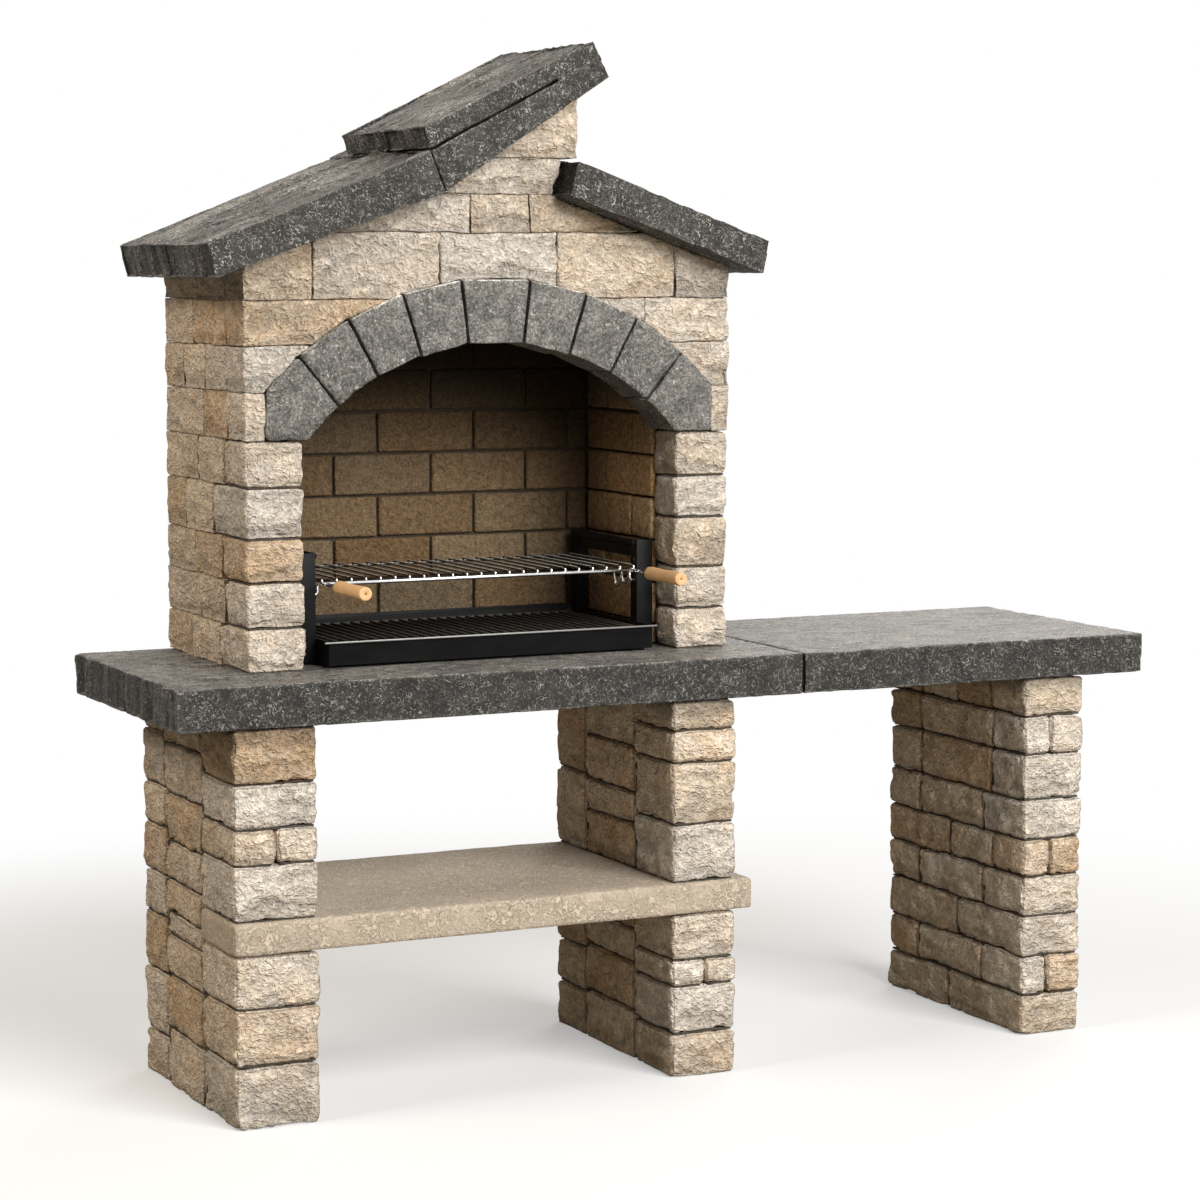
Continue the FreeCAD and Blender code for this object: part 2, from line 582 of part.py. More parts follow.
def ember_grate():
    left, right = HOOD_CENTRE - GRATE_HALF_WIDTH, HOOD_CENTRE + GRATE_HALF_WIDTH
    low = GRATE_TOP - GRATE_BAR
    middle = (GRATE_FRONT + GRATE_BACK - GRATE_BAR) / 2
    depths = (GRATE_FRONT, middle, GRATE_BACK - GRATE_BAR)
    tops = (GRATE_TOP, GRATE_TOP - GRATE_WIRE, GRATE_TOP)
    bars = [block(left, right, y, y + GRATE_BAR, low, top) for y, top in zip(depths, tops)]
    for x in (left, right - GRATE_BAR):
        bars.append(block(x, x + GRATE_BAR, GRATE_FRONT, GRATE_BACK, low, GRATE_TOP))
    pitch = (right - left - GRATE_WIRE) / (GRATE_WIRES - 1)
    for number in range(1, GRATE_WIRES - 1):
        x = left + pitch * number
        bars.append(block(x, x + GRATE_WIRE, GRATE_FRONT, GRATE_BACK, GRATE_TOP - GRATE_WIRE, GRATE_TOP))
    return bars[0].multiFuse(bars[1:]).removeSplitter().Solids[0]


def left_carrier():
    """Bent wire that hangs in the uprights' slots and carries the grid's left edge."""
    x = HOOD_CENTRE - CARRIER_OFFSET
    tip = x - CARRIER_PIN_REACH
    run_z = GRID_BAR_Z - GRID_BAR / 2 - CARRIER_RUN_GAP - CARRIER_WIRE / 2
    pin_z = run_z - CARRIER_PIN_DROP
    front, rear = pin_depths()
    path = [(tip, front, pin_z), (x, front, pin_z), (x, front, run_z),
            (x, rear, run_z), (x, rear, pin_z), (tip, rear, pin_z)]
    return bent_wire(path, CARRIER_WIRE, CARRIER_BEND)


def cooking_grid():
    left, right = HOOD_CENTRE - GRID_HALF_WIDTH, HOOD_CENTRE + GRID_HALF_WIDTH
    low, high = GRID_BAR_Z - GRID_BAR / 2, GRID_BAR_Z + GRID_BAR / 2
    pieces = [rod((left, GRID_FRONT, GRID_BAR_Z), (right, GRID_FRONT, GRID_BAR_Z), GRID_FRONT_BAR)]
    pieces.append(block(left, right, GRID_BACK - GRID_BAR, GRID_BACK, low, high))
    for x in (left, right - GRID_BAR):
        pieces.append(block(x, x + GRID_BAR, GRID_FRONT, GRID_BACK, low, high))
    pitch = (right - left - GRID_WIRE) / (GRID_WIRES - 1)
    for number in range(GRID_WIRES):
        x = left + pitch * number
        pieces.append(block(x, x + GRID_WIRE, GRID_FRONT, GRID_BACK, high - 1, high - 1 + GRID_WIRE))
    return pieces[0].multiFuse(pieces[1:]).removeSplitter().Solids[0]


def left_grip_rods():
    front_face = GRID_FRONT - GRID_FRONT_BAR / 2
    rods = []
    for shift in (-ROD_SPACING / 2, ROD_SPACING / 2):
        x = HOOD_CENTRE - GRIP_OFFSET + shift
        rods.append(rod((x, GRIP_BACK, GRID_BAR_Z), (x, front_face, GRID_BAR_Z), ROD_DIAMETER))
    return rods


def left_grip():
    """Turned grip along Y with rounded ends and a small hole in its front end."""
    front = V(HOOD_CENTRE - GRIP_OFFSET, GRIP_FRONT, GRID_BAR_Z)
    back = V(0, 1, 0)
    grip = Part.makeCylinder(GRIP_RADIUS, GRIP_BACK - GRIP_FRONT, front, back)
    grip = grip.makeFillet(GRIP_ROUND, [edge for edge in grip.Edges if len(edge.Vertexes) == 1])
    hole = Part.makeCylinder(GRIP_HOLE_RADIUS, GRIP_HOLE_DEPTH, front, back)
    return grip.cut(hole).Solids[0]


def fire_insert():
    front, rear = left_upright(True), left_upright(False)
    nodes = {"ember_pan": [ember_pan()], "pan_feet": pan_feet(), "frame_rivets": frame_rivets(),
             "ember_grate": [ember_grate()], "cooking_grid": [cooking_grid()]}
    pairs = {"upright_front": [front], "upright_rear": [rear], "side_plate": [left_side_plate()],
             "grid_carrier": [left_carrier()], "grip_rods": left_grip_rods(), "wooden_grip": [left_grip()]}
    for name, solids in pairs.items():
        nodes["left_" + name] = solids
        nodes["right_" + name] = [mirrored(solid) for solid in solids]
    return nodes


def write(nodes):
    """Move each node to the middle of the base and export it."""
    os.makedirs("parts", exist_ok=True)
    shift = V(-TOTAL_LENGTH / 2, -WORKTOP_DEPTH / 2, 0)
    box = FreeCAD.BoundBox()
    count = 0
    for name, solids in nodes.items():
        for solid in solids:
            solid.translate(shift)
            if solid.ShapeType != "Solid" or not solid.isValid():
                print("check", name, solid.ShapeType, solid.isValid())
        shape = solids[0] if len(solids) == 1 else Part.makeCompound(solids)
        box.add(shape.BoundBox)
        count += len(solids)
        shape.exportStep(f"parts/{name}.step")
    print(len(nodes), "nodes,", count, "solids, box", box)


def main():
    nodes = {}
    makers = (left_pier, middle_pier, right_pier, shelf_and_worktop, hood, arch, roof, lining, fire_insert)
    for make in makers:
        nodes.update(make())
    write(nodes)


main()
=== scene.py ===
"""Looks of a masonry barbecue, laid out as an add-on and built around the packed solids of the part."""

import math

import bmesh
import bpy
import numpy as np
from bpy.props import FloatProperty, FloatVectorProperty, PointerProperty
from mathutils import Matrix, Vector


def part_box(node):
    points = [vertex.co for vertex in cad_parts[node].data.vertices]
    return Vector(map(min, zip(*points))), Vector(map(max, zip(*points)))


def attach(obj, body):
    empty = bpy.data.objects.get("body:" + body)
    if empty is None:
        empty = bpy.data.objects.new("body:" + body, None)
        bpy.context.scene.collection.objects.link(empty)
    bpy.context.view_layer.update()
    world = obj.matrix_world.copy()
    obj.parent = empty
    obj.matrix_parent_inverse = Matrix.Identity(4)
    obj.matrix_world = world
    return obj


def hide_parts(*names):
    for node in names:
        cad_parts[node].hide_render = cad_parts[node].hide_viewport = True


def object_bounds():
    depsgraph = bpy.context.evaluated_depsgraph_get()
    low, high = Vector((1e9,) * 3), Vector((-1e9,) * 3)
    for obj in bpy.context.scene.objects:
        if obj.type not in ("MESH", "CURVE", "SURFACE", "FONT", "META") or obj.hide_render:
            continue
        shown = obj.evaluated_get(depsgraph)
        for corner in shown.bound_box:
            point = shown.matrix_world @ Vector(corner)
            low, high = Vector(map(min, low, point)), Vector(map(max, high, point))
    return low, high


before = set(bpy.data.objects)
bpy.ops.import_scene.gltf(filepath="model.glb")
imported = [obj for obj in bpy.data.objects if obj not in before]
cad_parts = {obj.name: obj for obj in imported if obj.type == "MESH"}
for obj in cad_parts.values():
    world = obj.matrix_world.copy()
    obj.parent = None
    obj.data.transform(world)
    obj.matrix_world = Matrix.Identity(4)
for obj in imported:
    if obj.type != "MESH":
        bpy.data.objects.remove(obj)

CAD_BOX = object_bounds()

bl_info = {
    "name": "Masonry Barbecue",
    "version": (1, 0, 0),
    "blender": (4, 5, 0),
    "location": "3D View > Sidebar > Barbecue",
    "description": "Dresses the stones, slabs, bricks and fire insert of a garden barbecue",
    "category": "Object",
}

PIER_NODES = ("left_pier_front_lower_stones", "left_pier_front_upper_stones", "left_pier_rear_stones",
              "middle_pier_lower_stones", "middle_pier_upper_stones", "right_pier_stones")
WALL_NODES = ("left_jamb_stones", "right_jamb_stones", "front_gable_stones", "left_wall_stones",
              "right_wall_stones", "back_wall_stones", "back_gable_stones")
WORKTOP_NODES = ("worktop_front_slab", "worktop_rear_slab", "side_worktop_slab")
ROOF_NODES = tuple(f"roof_{place}_{half}_slab" for place in ("left", "ridge", "cap", "right")
                   for half in ("front", "rear"))
ARCH_NODES = ("arch_springer_left", "arch_voussoir_left_low", "arch_voussoir_left_middle",
              "arch_voussoir_left_high", "arch_keystone", "arch_voussoir_right_high",
              "arch_voussoir_right_middle", "arch_voussoir_right_low", "arch_springer_right")
BRICK_NODES = ("firebox_back_bricks", "firebox_left_bricks", "firebox_right_bricks")
BED_NODES = ("firebox_back_mortar_bed", "firebox_left_mortar_bed", "firebox_right_mortar_bed")
SHEET_NODES = ("left_upright_front", "right_upright_front", "left_upright_rear", "right_upright_rear",
               "left_side_plate", "right_side_plate", "pan_feet")
SIDES = ("left", "right")

# Meshes of the solids; all lengths are in metres
WELD_DISTANCE = 1e-5
CAD_EASE = 0.006
PRISM_SLACK = 0.04
ARRIS_REACH = 2.5
FLAT_ANGLE = 0.02
FOLD_ANGLE = 0.5
SHARP_ANGLE = 40
HASH_MASK = 0xFFFFFFFF

# Share of the faces that a thinned piece keeps
STONE_KEEP = 0.45
SLAB_KEEP = 0.4
ARCH_KEEP = 0.55
SHELF_KEEP = 0.5
BRICK_KEEP = 0.4

# Split stones: sizes of the relief along X, Y and Z, and their joints
LEDGE_SIZE = (0.11, 0.11, 0.045)
FACET_SIZE = (0.046, 0.046, 0.026)
SCOOP_SIZE = 0.022
BRINK_LENGTH = 0.05
STONE_CHIP = 0.024
CHIP_SHARE = 0.5
WANDER_LENGTH = 0.06
HEAD_JOINT = 0.6
HEAD_BED = 0.007
BED_STEP = 0.012
BED_SHADE = 0.3

# Tones of the split stones, and the painted shadow under the worktop
WARMTH = {"pale": 0.02, "cream": 0.25, "tan": 0.5, "ochre": 0.78, "brown": 1.0}
# Painted shade: the stones of the gable, the jambs and the hood's left wall are painted darker, the gable
# most
HOOD_PAINTED_SHADE = {"front_gable_stones": 0.9, "left_jamb_stones": 0.93, "right_jamb_stones": 0.93,
              "left_wall_stones": 0.96}
# Painted shadow: the stones just under the worktop are painted darker towards its underside
OVERHANG_SHADOW_REACH = 0.06
OVERHANG_SHADOW_DARKENING = 0.58
OTHER_TONES = ("cream", "tan", "cream", "tan", "pale", "tan", "ochre")

# Tones of the stones that are seen from the front, in the order they are laid
TONES = {
    "left_pier_front_lower_stones": "cream tan cream",
    "left_pier_front_upper_stones": "pale tan cream pale ochre",
    "left_pier_rear_stones": "tan ochre tan cream ochre tan ochre tan ochre"
                             " tan cream ochre cream ochre tan cream ochre",
    "middle_pier_lower_stones": "tan pale cream cream cream tan ochre tan ochre tan tan ochre",
    "middle_pier_upper_stones": "pale tan tan tan ochre tan ochre tan tan ochre tan",
    "right_pier_stones": "tan tan cream ochre tan ochre cream tan cream cream tan ochre ochre tan ochre"
                         " pale tan tan pale ochre tan pale cream tan ochre tan ochre tan brown",
    "left_jamb_stones": "cream cream ochre pale cream",
    "right_jamb_stones": "cream cream tan pale cream",
    "front_gable_stones": "cream cream pale cream ochre cream cream tan cream pale tan"
                          " cream cream tan tan cream tan",
    "left_wall_stones": "tan ochre tan tan ochre tan tan ochre tan tan ochre"
                        " tan cream tan tan ochre tan tan tan",
}

# Slate: sizes of the relief along, across and out of a slab, its seams and the cap's joint
LAYER_SIZE = (0.17, 0.075, 0.4)
LAYER_FACET = (0.06, 0.035, 0.06)
STRIPE_SIZE = (0.022, 0.022, 0.07)
EDGE_FACET = 0.04
RIB_SIZE = (0.5, 0.042, 0.4)
SLAB_CHIP = 0.022
# Painted light: the roof slabs are painted 1.25 times lighter than the worktops
ROOF_PAINTED_LIGHT = 1.25
INSERT_CLEARANCE = 0.0003
SEAM_SINK = 0.012
SEAM_AXES = {node: 1 for node in WORKTOP_NODES + ROOF_NODES if "rear" in node}
SEAM_AXES["side_worktop_slab"] = 0
CAP_NODES = ("roof_cap_front_slab", "roof_cap_rear_slab")
CAP_TAIL = 0.11
CAP_INSET = 0.0015
ARCH_CENTRE_Z = 1.03
ARCH_PATCH = 0.055
ARCH_FACET = 0.03

# Shelf and hearth, with soot and painted shade given by height over the ground, painted shade in the back
# corners and painted light on the right lining
SAW_WAVE = 0.05
SAND_SIZE = 0.016
BRICK_WAVE = 0.06
# Painted light: the bricks of the right lining are painted four times lighter
RIGHT_LINING_PAINTED_LIGHT = 4.0
SOOT_AND_SHADE_START = 1.19
SOOT_AND_SHADE_FULL = 1.58
CORNER_SHADE_REACH = 0.2
MORTAR_STEP = 0.02
MORTAR_PROUD = 0.007
TROWEL_LENGTH = 0.05
TROWEL_DEPTH = 0.0012

# Fire insert; each brace has a start, a drop and an end behind the front of its carrier
HEM_DEPTH = 0.005
HEM_FADE = 0.0008
HEM_TOP = 0.955
HEM_PAINT = 0.0042
HEM_WEAR = 0.0024
WIRE_DOME = 0.45
WIRE_TIP = 0.55
RIM_RADIUS = 0.007
RIVET_DOME = 0.45
GRATE_BAR = 0.008
GRATE_WIRE = 0.005
GRATE_WIRES = 32
GRID_FRONT_BAR = 0.009
GRID_BAR = 0.006
GRID_WIRE = 0.005
GRID_WIRES = 23
CARRIER_WIRE = 0.006
CARRIER_BEND = 0.007
BRACE_WIRE = 0.006
BRACE_BEND = 0.004
BRACE_RISE = 0.012
BRACES = ((0.0, 0.026, 0.030), (0.036, 0.034, 0.068))
ROD_WIRE = 0.005
ROD_SPACING = 0.012
GRIP_HOLE = 0.16
GRIP_HOLE_DEPTH = 0.010
GRIP_HOLE_EASE = 0.0006
GRIP_HOLE_FLARE = 1.25
GRIP_CENTRE = 0.0005
GRIP_LIP = 0.0002
GRIP_FRONT_ROUND = 0.003
GRIP_REAR_ROUND = 0.005
GRIP_WAIST = 0.035
ROUND_STEPS = 5
WAIST_STEPS = 12

# Camera and lamps: place, side and tint of each lamp
SENSOR_WIDTH = 36.0
LAMPS = {"key": ((1.5, -7.0, 4.6), 5.0, (1.0, 0.985, 0.96)),
         "fill": ((-4.8, -0.4, 4.6), 2.0, (1.0, 0.88, 0.74)),
         "back": ((5.4, 5.4, 3.8), 4.5, (1.0, 0.96, 0.9))}


def length(name, description, default):
    return FloatProperty(name=name, description=description, default=default, unit="LENGTH", precision=4)


def power(name, description, default):
    return FloatProperty(name=name, description=description, default=default, unit="POWER")


def turn(name, description, degrees):
    return FloatProperty(name=name, description=description, default=math.radians(degrees), subtype="ANGLE",
                         unit="ROTATION")


def colour(name, description, default):
    return FloatVectorProperty(name=name, description=description, default=default, subtype="COLOR",
                               size=3, min=0.0, max=1.0)


def share(name, description, default):
    return FloatProperty(name=name, description=description, default=default, subtype="FACTOR",
                         min=0.0, max=1.0)


class StoneSettings(bpy.types.PropertyGroup):
    """Split stones of the piers and the hood."""

    mesh_step: length("Mesh step", "Spacing of the sculpted mesh", 0.006)
    split_depth: length("Split depth", "Height of the ledges and facets of a split face", 0.0055)
    undercut: length("Undercut", "How far the foot of a stone is broken back under its ledge", 0.004)
    wander: length("Wander", "How far the joints wander from straight lines", 0.0026)
    pier_gap: length("Pier joint", "Open joint between the courses of the piers and jambs", 0.004)
    pier_round: length("Pier arris", "Rounding of the arrises of the piers and jambs", 0.0105)
    wall_gap: length("Wall joint", "Open joint between the courses of the hood", 0.0006)
    wall_round: length("Wall arris", "Rounding of the arrises of the hood's stones", 0.0042)
    bed_inset: length("Bedding inset", "How far the bedding lies behind the face of a joint", 0.009)
    pale: colour("Pale stone", "Greyish cream stones", (0.79, 0.726, 0.645))
    tan: colour("Tan stone", "Warm stones", (0.80, 0.675, 0.535))
    ochre: colour("Ochre stone", "Rusty stones and stains", (0.68, 0.485, 0.305))


class SlateSettings(bpy.types.PropertyGroup):
    """Slate of the worktops, the roof and the arch."""

    mesh_step: length("Mesh step", "Spacing of the sculpted mesh", 0.006)
    cleft_depth: length("Cleft depth", "Height of the cleft layers on the roof", 0.0075)
    worktop_depth: length("Worktop relief", "Height of the layers on the worktops", 0.0012)
    edge_depth: length("Edge relief", "Roughness of the broken edges", 0.002)
    rib_depth: length("End ribs", "Depth of the upright ribs on the ends of a slab", 0.008)
    chip_depth: length("Chip depth", "Depth of the chips along the arrises", 0.0022)
    worktop_round: length("Worktop arris", "Rounding of the arrises of the worktops", 0.006)
    roof_round: length("Roof arris", "Rounding of the arrises of the roof", 0.0045)
    seam: length("Seam", "Open seam between neighbouring slabs", 0.005)
    roof_seam: length("Roof seam", "Open seam between the front and rear slabs of the roof", 0.0025)
    arch_round: length("Arch arris", "Rounding of the arrises of the arch stones", 0.005)
    arch_gap: length("Arch joint", "Open joint between the stones of the arch", 0.007)
    dark: colour("Dark slate", "Body of the slabs", (0.024, 0.023, 0.021))
    light: colour("Light slate", "Lighter layers of the slabs", (0.064, 0.061, 0.056))
    arch_dark: colour("Arch slate", "Body of the arch stones", (0.105, 0.101, 0.094))
    arch_light: colour("Light arch slate", "Lighter patches of the arch stones", (0.270, 0.261, 0.246))
    fleck: colour("Flecks", "Pale flecks, veins and worn arrises", (0.54, 0.53, 0.505))


class ShelfSettings(bpy.types.PropertyGroup):
    """Sawn log shelf."""

    mesh_step: length("Mesh step", "Spacing of the sculpted mesh", 0.008)
    relief: length("Relief", "Waviness of the sawn faces", 0.0007)
    arris_round: length("Arris", "Rounding of the arrises", 0.003)
    body: colour("Shelf", "Body of the shelf", (0.57, 0.485, 0.385))
    pit: colour("Pits", "Fine pits and strokes", (0.31, 0.25, 0.18))


class HearthSettings(bpy.types.PropertyGroup):
    """Firebrick lining."""

    mesh_step: length("Mesh step", "Spacing of the sculpted mesh", 0.007)
    sand_depth: length("Sand depth", "Roughness of a brick's face", 0.0008)
    arris_round: length("Arris", "Rounding of a brick's arrises", 0.004)
    brick_swell: length("Swelling", "How far a brick grows into its joints", 0.0013)
    sandy: colour("Sandy brick", "Lighter bricks", (0.196, 0.145, 0.088))
    burnt: colour("Burnt brick", "Browner bricks", (0.170, 0.104, 0.051))
    mortar: colour("Mortar", "Joints between the bricks", (0.060, 0.046, 0.032))


class InsertSettings(bpy.types.PropertyGroup):
    """Steel fire insert."""

    edge_round: length("Sheet edge", "Rounding of the folded steel edges", 0.0009)
    wire_lift: length("Wire lift", "Height of the grid's wires above their CAD place", 0.005)
    wire_bend: length("Wire bend", "Radius at which the grid's wires turn down", 0.004)
    steel: colour("Black steel", "Painted steel", (0.006, 0.006, 0.0063))
    hem: colour("Bare hem", "Worn hem of the pan", (0.22, 0.22, 0.21))
    iron: colour("Grate iron", "Ember grate", (0.045, 0.040, 0.036))
    rust: colour("Grate rust", "Rust on the ember grate", (0.085, 0.052, 0.030))
    # Over the fire, the chrome on the tops of the grid's wires is partly a painted highlight and the soot on
    # their sides and undersides partly painted shade
    chrome: colour("Chrome", "Tops of the cooking grid's wires", (0.80, 0.80, 0.79))
    soot_and_shade: colour("Soot", "Undersides of the cooking grid's wires", (0.010, 0.0095, 0.009))
    wood: colour("Grip wood", "Wooden grips", (0.78, 0.50, 0.255))
    wood_grain: colour("Wood grain", "Darker grain of the grips", (0.58, 0.335, 0.145))


class StageSettings(bpy.types.PropertyGroup):
    """Camera, lamps and floor."""

    eye: FloatVectorProperty(name="Camera place", description="Where the camera stands",
                             default=(-3.127, -6.3233, 1.7249), subtype="TRANSLATION", unit="LENGTH")
    yaw: turn("Yaw", "Turn of the camera to the right of the depth axis", 25.8952)
    pitch: turn("Pitch", "Fall of the view", 5.9113)
    lens: FloatProperty(name="Lens", description="Focal length on a 36 mm frame", default=96.70,
                        unit="CAMERA")
    floor_size: length("Floor size", "Side of the floor", 60.0)
    floor_tint: colour("Floor", "Floor as the camera sees it", (0.945, 0.97, 1.0))
    floor_glow: share("Floor glow", "How far the floor near the barbecue is plain white", 0.34)
    shadow_reach: length("Shadow reach", "Distance at which the floor is plain white", 3.2)
    floor_bounce: colour("Floor bounce", "Floor as it lights the object", (0.25, 0.22, 0.175))
    ambient: colour("Ambient light", "Light from all round", (0.165, 0.144, 0.116))
    key_power: power("Key lamp", "Power of the main lamp", 850.0)
    back_power: power("Back lamp", "Power of the lamp behind", 250.0)
    fill_power: power("Fill lamp", "Power of the lamp on the left", 150.0)


SETTINGS = {"barbecue_stone": StoneSettings, "barbecue_slate": SlateSettings,
            "barbecue_shelf": ShelfSettings, "barbecue_hearth": HearthSettings,
            "barbecue_insert": InsertSettings, "barbecue_stage": StageSettings}


def chosen(name):
    """One group of the add-on's settings in the scene."""
    return getattr(bpy.context.scene, "barbecue_" + name)


# Noise for the sculpted surfaces

def lattice_value(cells, seed):
    """A fixed value from -1 to 1 for each whole-number cell."""
    mixed = cells @ np.array((374761393, 668265263, 1103515245)) + seed * 974634541
    mixed = mixed & HASH_MASK
    mixed = ((mixed ^ (mixed >> 13)) * 1274126177) & HASH_MASK
    return (mixed ^ (mixed >> 16)) / HASH_MASK * 2 - 1


def smooth_noise(points, seed):
    cells = np.floor(points).astype(np.int64)
    part = points - cells
    ease = part * part * (3 - 2 * part)
    total = np.zeros(len(points))
    for corner in np.ndindex(2, 2, 2):
        weight = np.prod(np.where(corner, ease, 1 - ease), axis=1)
        total += weight * lattice_value(cells + np.array(corner), seed)
    return total


def fractal(points, seed, octaves):
    """Layers of smooth noise, each half the size and half the height of the one before."""
    total = np.zeros(len(points))
    for octave in range(octaves):
        total += smooth_noise(points * 2 ** octave, seed + 101 * octave) * 0.5 ** octave
    return total


def faceted(points, seed):
    """Broken facets: each point lies on the tilted plane of its nearest scattered centre."""
    cells = np.floor(points).astype(np.int64)
    nearest = np.full(len(points), np.inf)
    owner = np.zeros_like(cells)
    for shift in np.ndindex(3, 3, 3):
        cell = cells + np.array(shift) - 1
        centre = cell + 0.5 + 0.42 * scattered(cell, seed)
        distance = ((points - centre) ** 2).sum(axis=1)
        closer = distance < nearest
        nearest[closer] = distance[closer]
        owner[closer] = cell[closer]
    away = points - (owner + 0.5 + 0.42 * scattered(owner, seed))
    return (away * scattered(owner, seed + 1)).sum(axis=1) + 0.55 * lattice_value(owner, seed + 2)


def scattered(cells, seed):
    """Three fixed values from -1 to 1 for each whole-number cell."""
    spread = (lattice_value(cells, seed) + 1) * 499.5
    return np.stack((spread % 1, spread * 7.31 % 1, spread * 53.17 % 1), axis=1) * 2 - 1


def terraced(values, treads, steepness):
    """Values drawn together into so many flat treads for each unit, with steep risers between them."""
    values = values * treads
    tread = np.floor(values)
    return (tread + np.clip((values - tread - 0.5) * steepness + 0.5, 0, 1)) / treads


def eased_step(low, high, values):
    part = np.clip((values - low) / (high - low), 0, 1)
    return part * part * (3 - 2 * part)


# Solids of the frame as sculpted meshes

def read(items, name, width, kind):
    """One value of every item of a mesh, in rows."""
    values = np.empty(len(items) * width, kind)
    items.foreach_get(name, values)
    return values.reshape(-1, width)


def shells_of(node):
    """The closed solids of a CAD node as (points, triangles) pairs, in the order they were made."""
    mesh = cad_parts[node].data
    mesh.calc_loop_triangles()
    corners = read(mesh.loop_triangles, "vertices", 3, np.int32)
    welds = np.round(read(mesh.vertices, "co", 3, float) / WELD_DISTANCE).astype(np.int64)
    places, welded = np.unique(welds, axis=0, return_inverse=True)
    shells = []
    triangles = []
    open_edges = set()
    for a, b, c in welded.reshape(-1)[corners].tolist():
        if a == b or b == c or c == a:
            continue
        triangles.append((a, b, c))
        for start, end in ((a, b), (b, c), (c, a)):
            if (end, start) in open_edges:
                open_edges.remove((end, start))
            else:
                open_edges.add((start, end))
        if not open_edges:
            used, numbers = np.unique(np.array(triangles), return_inverse=True)
            shells.append((places[used] * WELD_DISTANCE, numbers.reshape(-1, 3)))
            triangles = []
    if triangles:
        raise RuntimeError(f"{node} has a solid that isn't closed")
    return shells


def new_mesh(name, points, faces):
    mesh = bpy.data.meshes.new(name)
    mesh.from_pydata(np.asarray(points).tolist(), [], faces)
    mesh.validate()
    return mesh


def linked(name, mesh):
    piece = bpy.data.objects.new(name, mesh)
    bpy.context.scene.collection.objects.link(piece)
    return piece


def evaluated_mesh(piece):
    graph = bpy.context.evaluated_depsgraph_get()
    return bpy.data.meshes.new_from_object(piece.evaluated_get(graph))


def remeshed(points, triangles, step):
    """The solid as a fine even mesh of (points, quads)."""
    blank = linked("blank", new_mesh("blank", points, triangles))
    modifier = blank.modifiers.new("grain", "REMESH")
    modifier.mode = "VOXEL"
    modifier.voxel_size = step
    mesh = evaluated_mesh(blank)
    fine = read(mesh.vertices, "co", 3, float)
    quads = read(mesh.loops, "vertex_index", 1, np.int32).reshape(-1, 4)
    rough = blank.data
    bpy.data.objects.remove(blank)
    bpy.data.meshes.remove(rough)
    bpy.data.meshes.remove(mesh)
    return fine, quads


def smoothed(points, quads):
    """Points drawn halfway to the middle of their neighbours, which rounds the edges."""
    starts = quads.ravel()
    ends = np.roll(quads, -1, axis=1).ravel()
    count = len(points)
    neighbours = np.bincount(starts, minlength=count).reshape(-1, 1)
    middle = np.stack([np.bincount(starts, points[ends, axis], count) for axis in range(3)], axis=1)
    return (points + middle / neighbours) / 2


def normals_of(points, quads):
    across = points[quads[:, 2]] - points[quads[:, 0]]
    along = points[quads[:, 3]] - points[quads[:, 1]]
    facing = np.cross(across, along)
    total = np.zeros_like(points)
    for axis in range(3):
        total[:, axis] = np.bincount(quads.ravel(), np.repeat(facing[:, axis], 4), len(points))
    size = np.linalg.norm(total, axis=1, keepdims=True)
    return total / np.maximum(size, 1e-12)


def raised(points, normals, height):
    """Points moved out along their normals."""
    return points + normals * height.reshape(-1, 1)


def prism_outline(corners, triangles):
    """The four X-Z corners of a solid that is a four-sided prism along Y, or None for another shape.

    They run from the lower left to the lower right, the upper right and the upper left."""
    a, b, c = (corners[triangles[:, side]] for side in range(3))
    facing = np.cross(b - a, c - a) / 2
    area = np.linalg.norm(facing, axis=1)
    aims = np.round(facing / area.reshape(-1, 1), 3) + 0.0
    upright = np.abs(aims[:, 1]) < 0.01
    kinds, kind_of = np.unique(aims[upright], axis=0, return_inverse=True)
    if len(kinds) < 4:
        return None
    largest = np.argsort(np.bincount(kind_of.reshape(-1), area[upright]))[-4:]
    sides = sorted(kinds[largest][:, (0, 2)].tolist(), key=lambda aim: math.atan2(aim[1], aim[0]))
    lowest = min(range(4), key=lambda side: sides[side][1])
    sides = np.array(sides[lowest:] + sides[:lowest])
    reach = (corners[:, (0, 2)] @ sides.T).max(axis=0)
    pairs = [(side - 1, side) for side in range(4)]
    if min(np.linalg.det(sides[list(pair)]) for pair in pairs) < PRISM_SLACK:
        return None
    outline = np.array([np.linalg.solve(sides[list(pair)], reach[list(pair)]) for pair in pairs])
    ahead = np.roll(outline, -1, axis=0)
    section = (outline[:, 0] * ahead[:, 1] - outline[:, 1] * ahead[:, 0]).sum() / 2
    volume = (np.cross(a, b) * c).sum() / 6
    whole = section * np.ptp(corners[:, 1])
    return outline if abs(whole / volume - 1) < PRISM_SLACK else None


def stations(span, step, radius):
    """Places along an edge: close together over the rounding at both ends and even between."""
    ease = radius * np.array((0.0, 0.35, 0.7))
    count = max(2, math.ceil((span - 2 * radius) / step) + 1)
    return np.concatenate((ease, np.linspace(radius, span - radius, count), span - ease[::-1]))


def sheet_quads(numbers):
    """Quads between the neighbours of a grid of point numbers."""
    corners = (numbers[:-1, :-1], numbers[1:, :-1], numbers[1:, 1:], numbers[:-1, 1:])
    return np.stack(corners, axis=2).reshape(-1, 4)


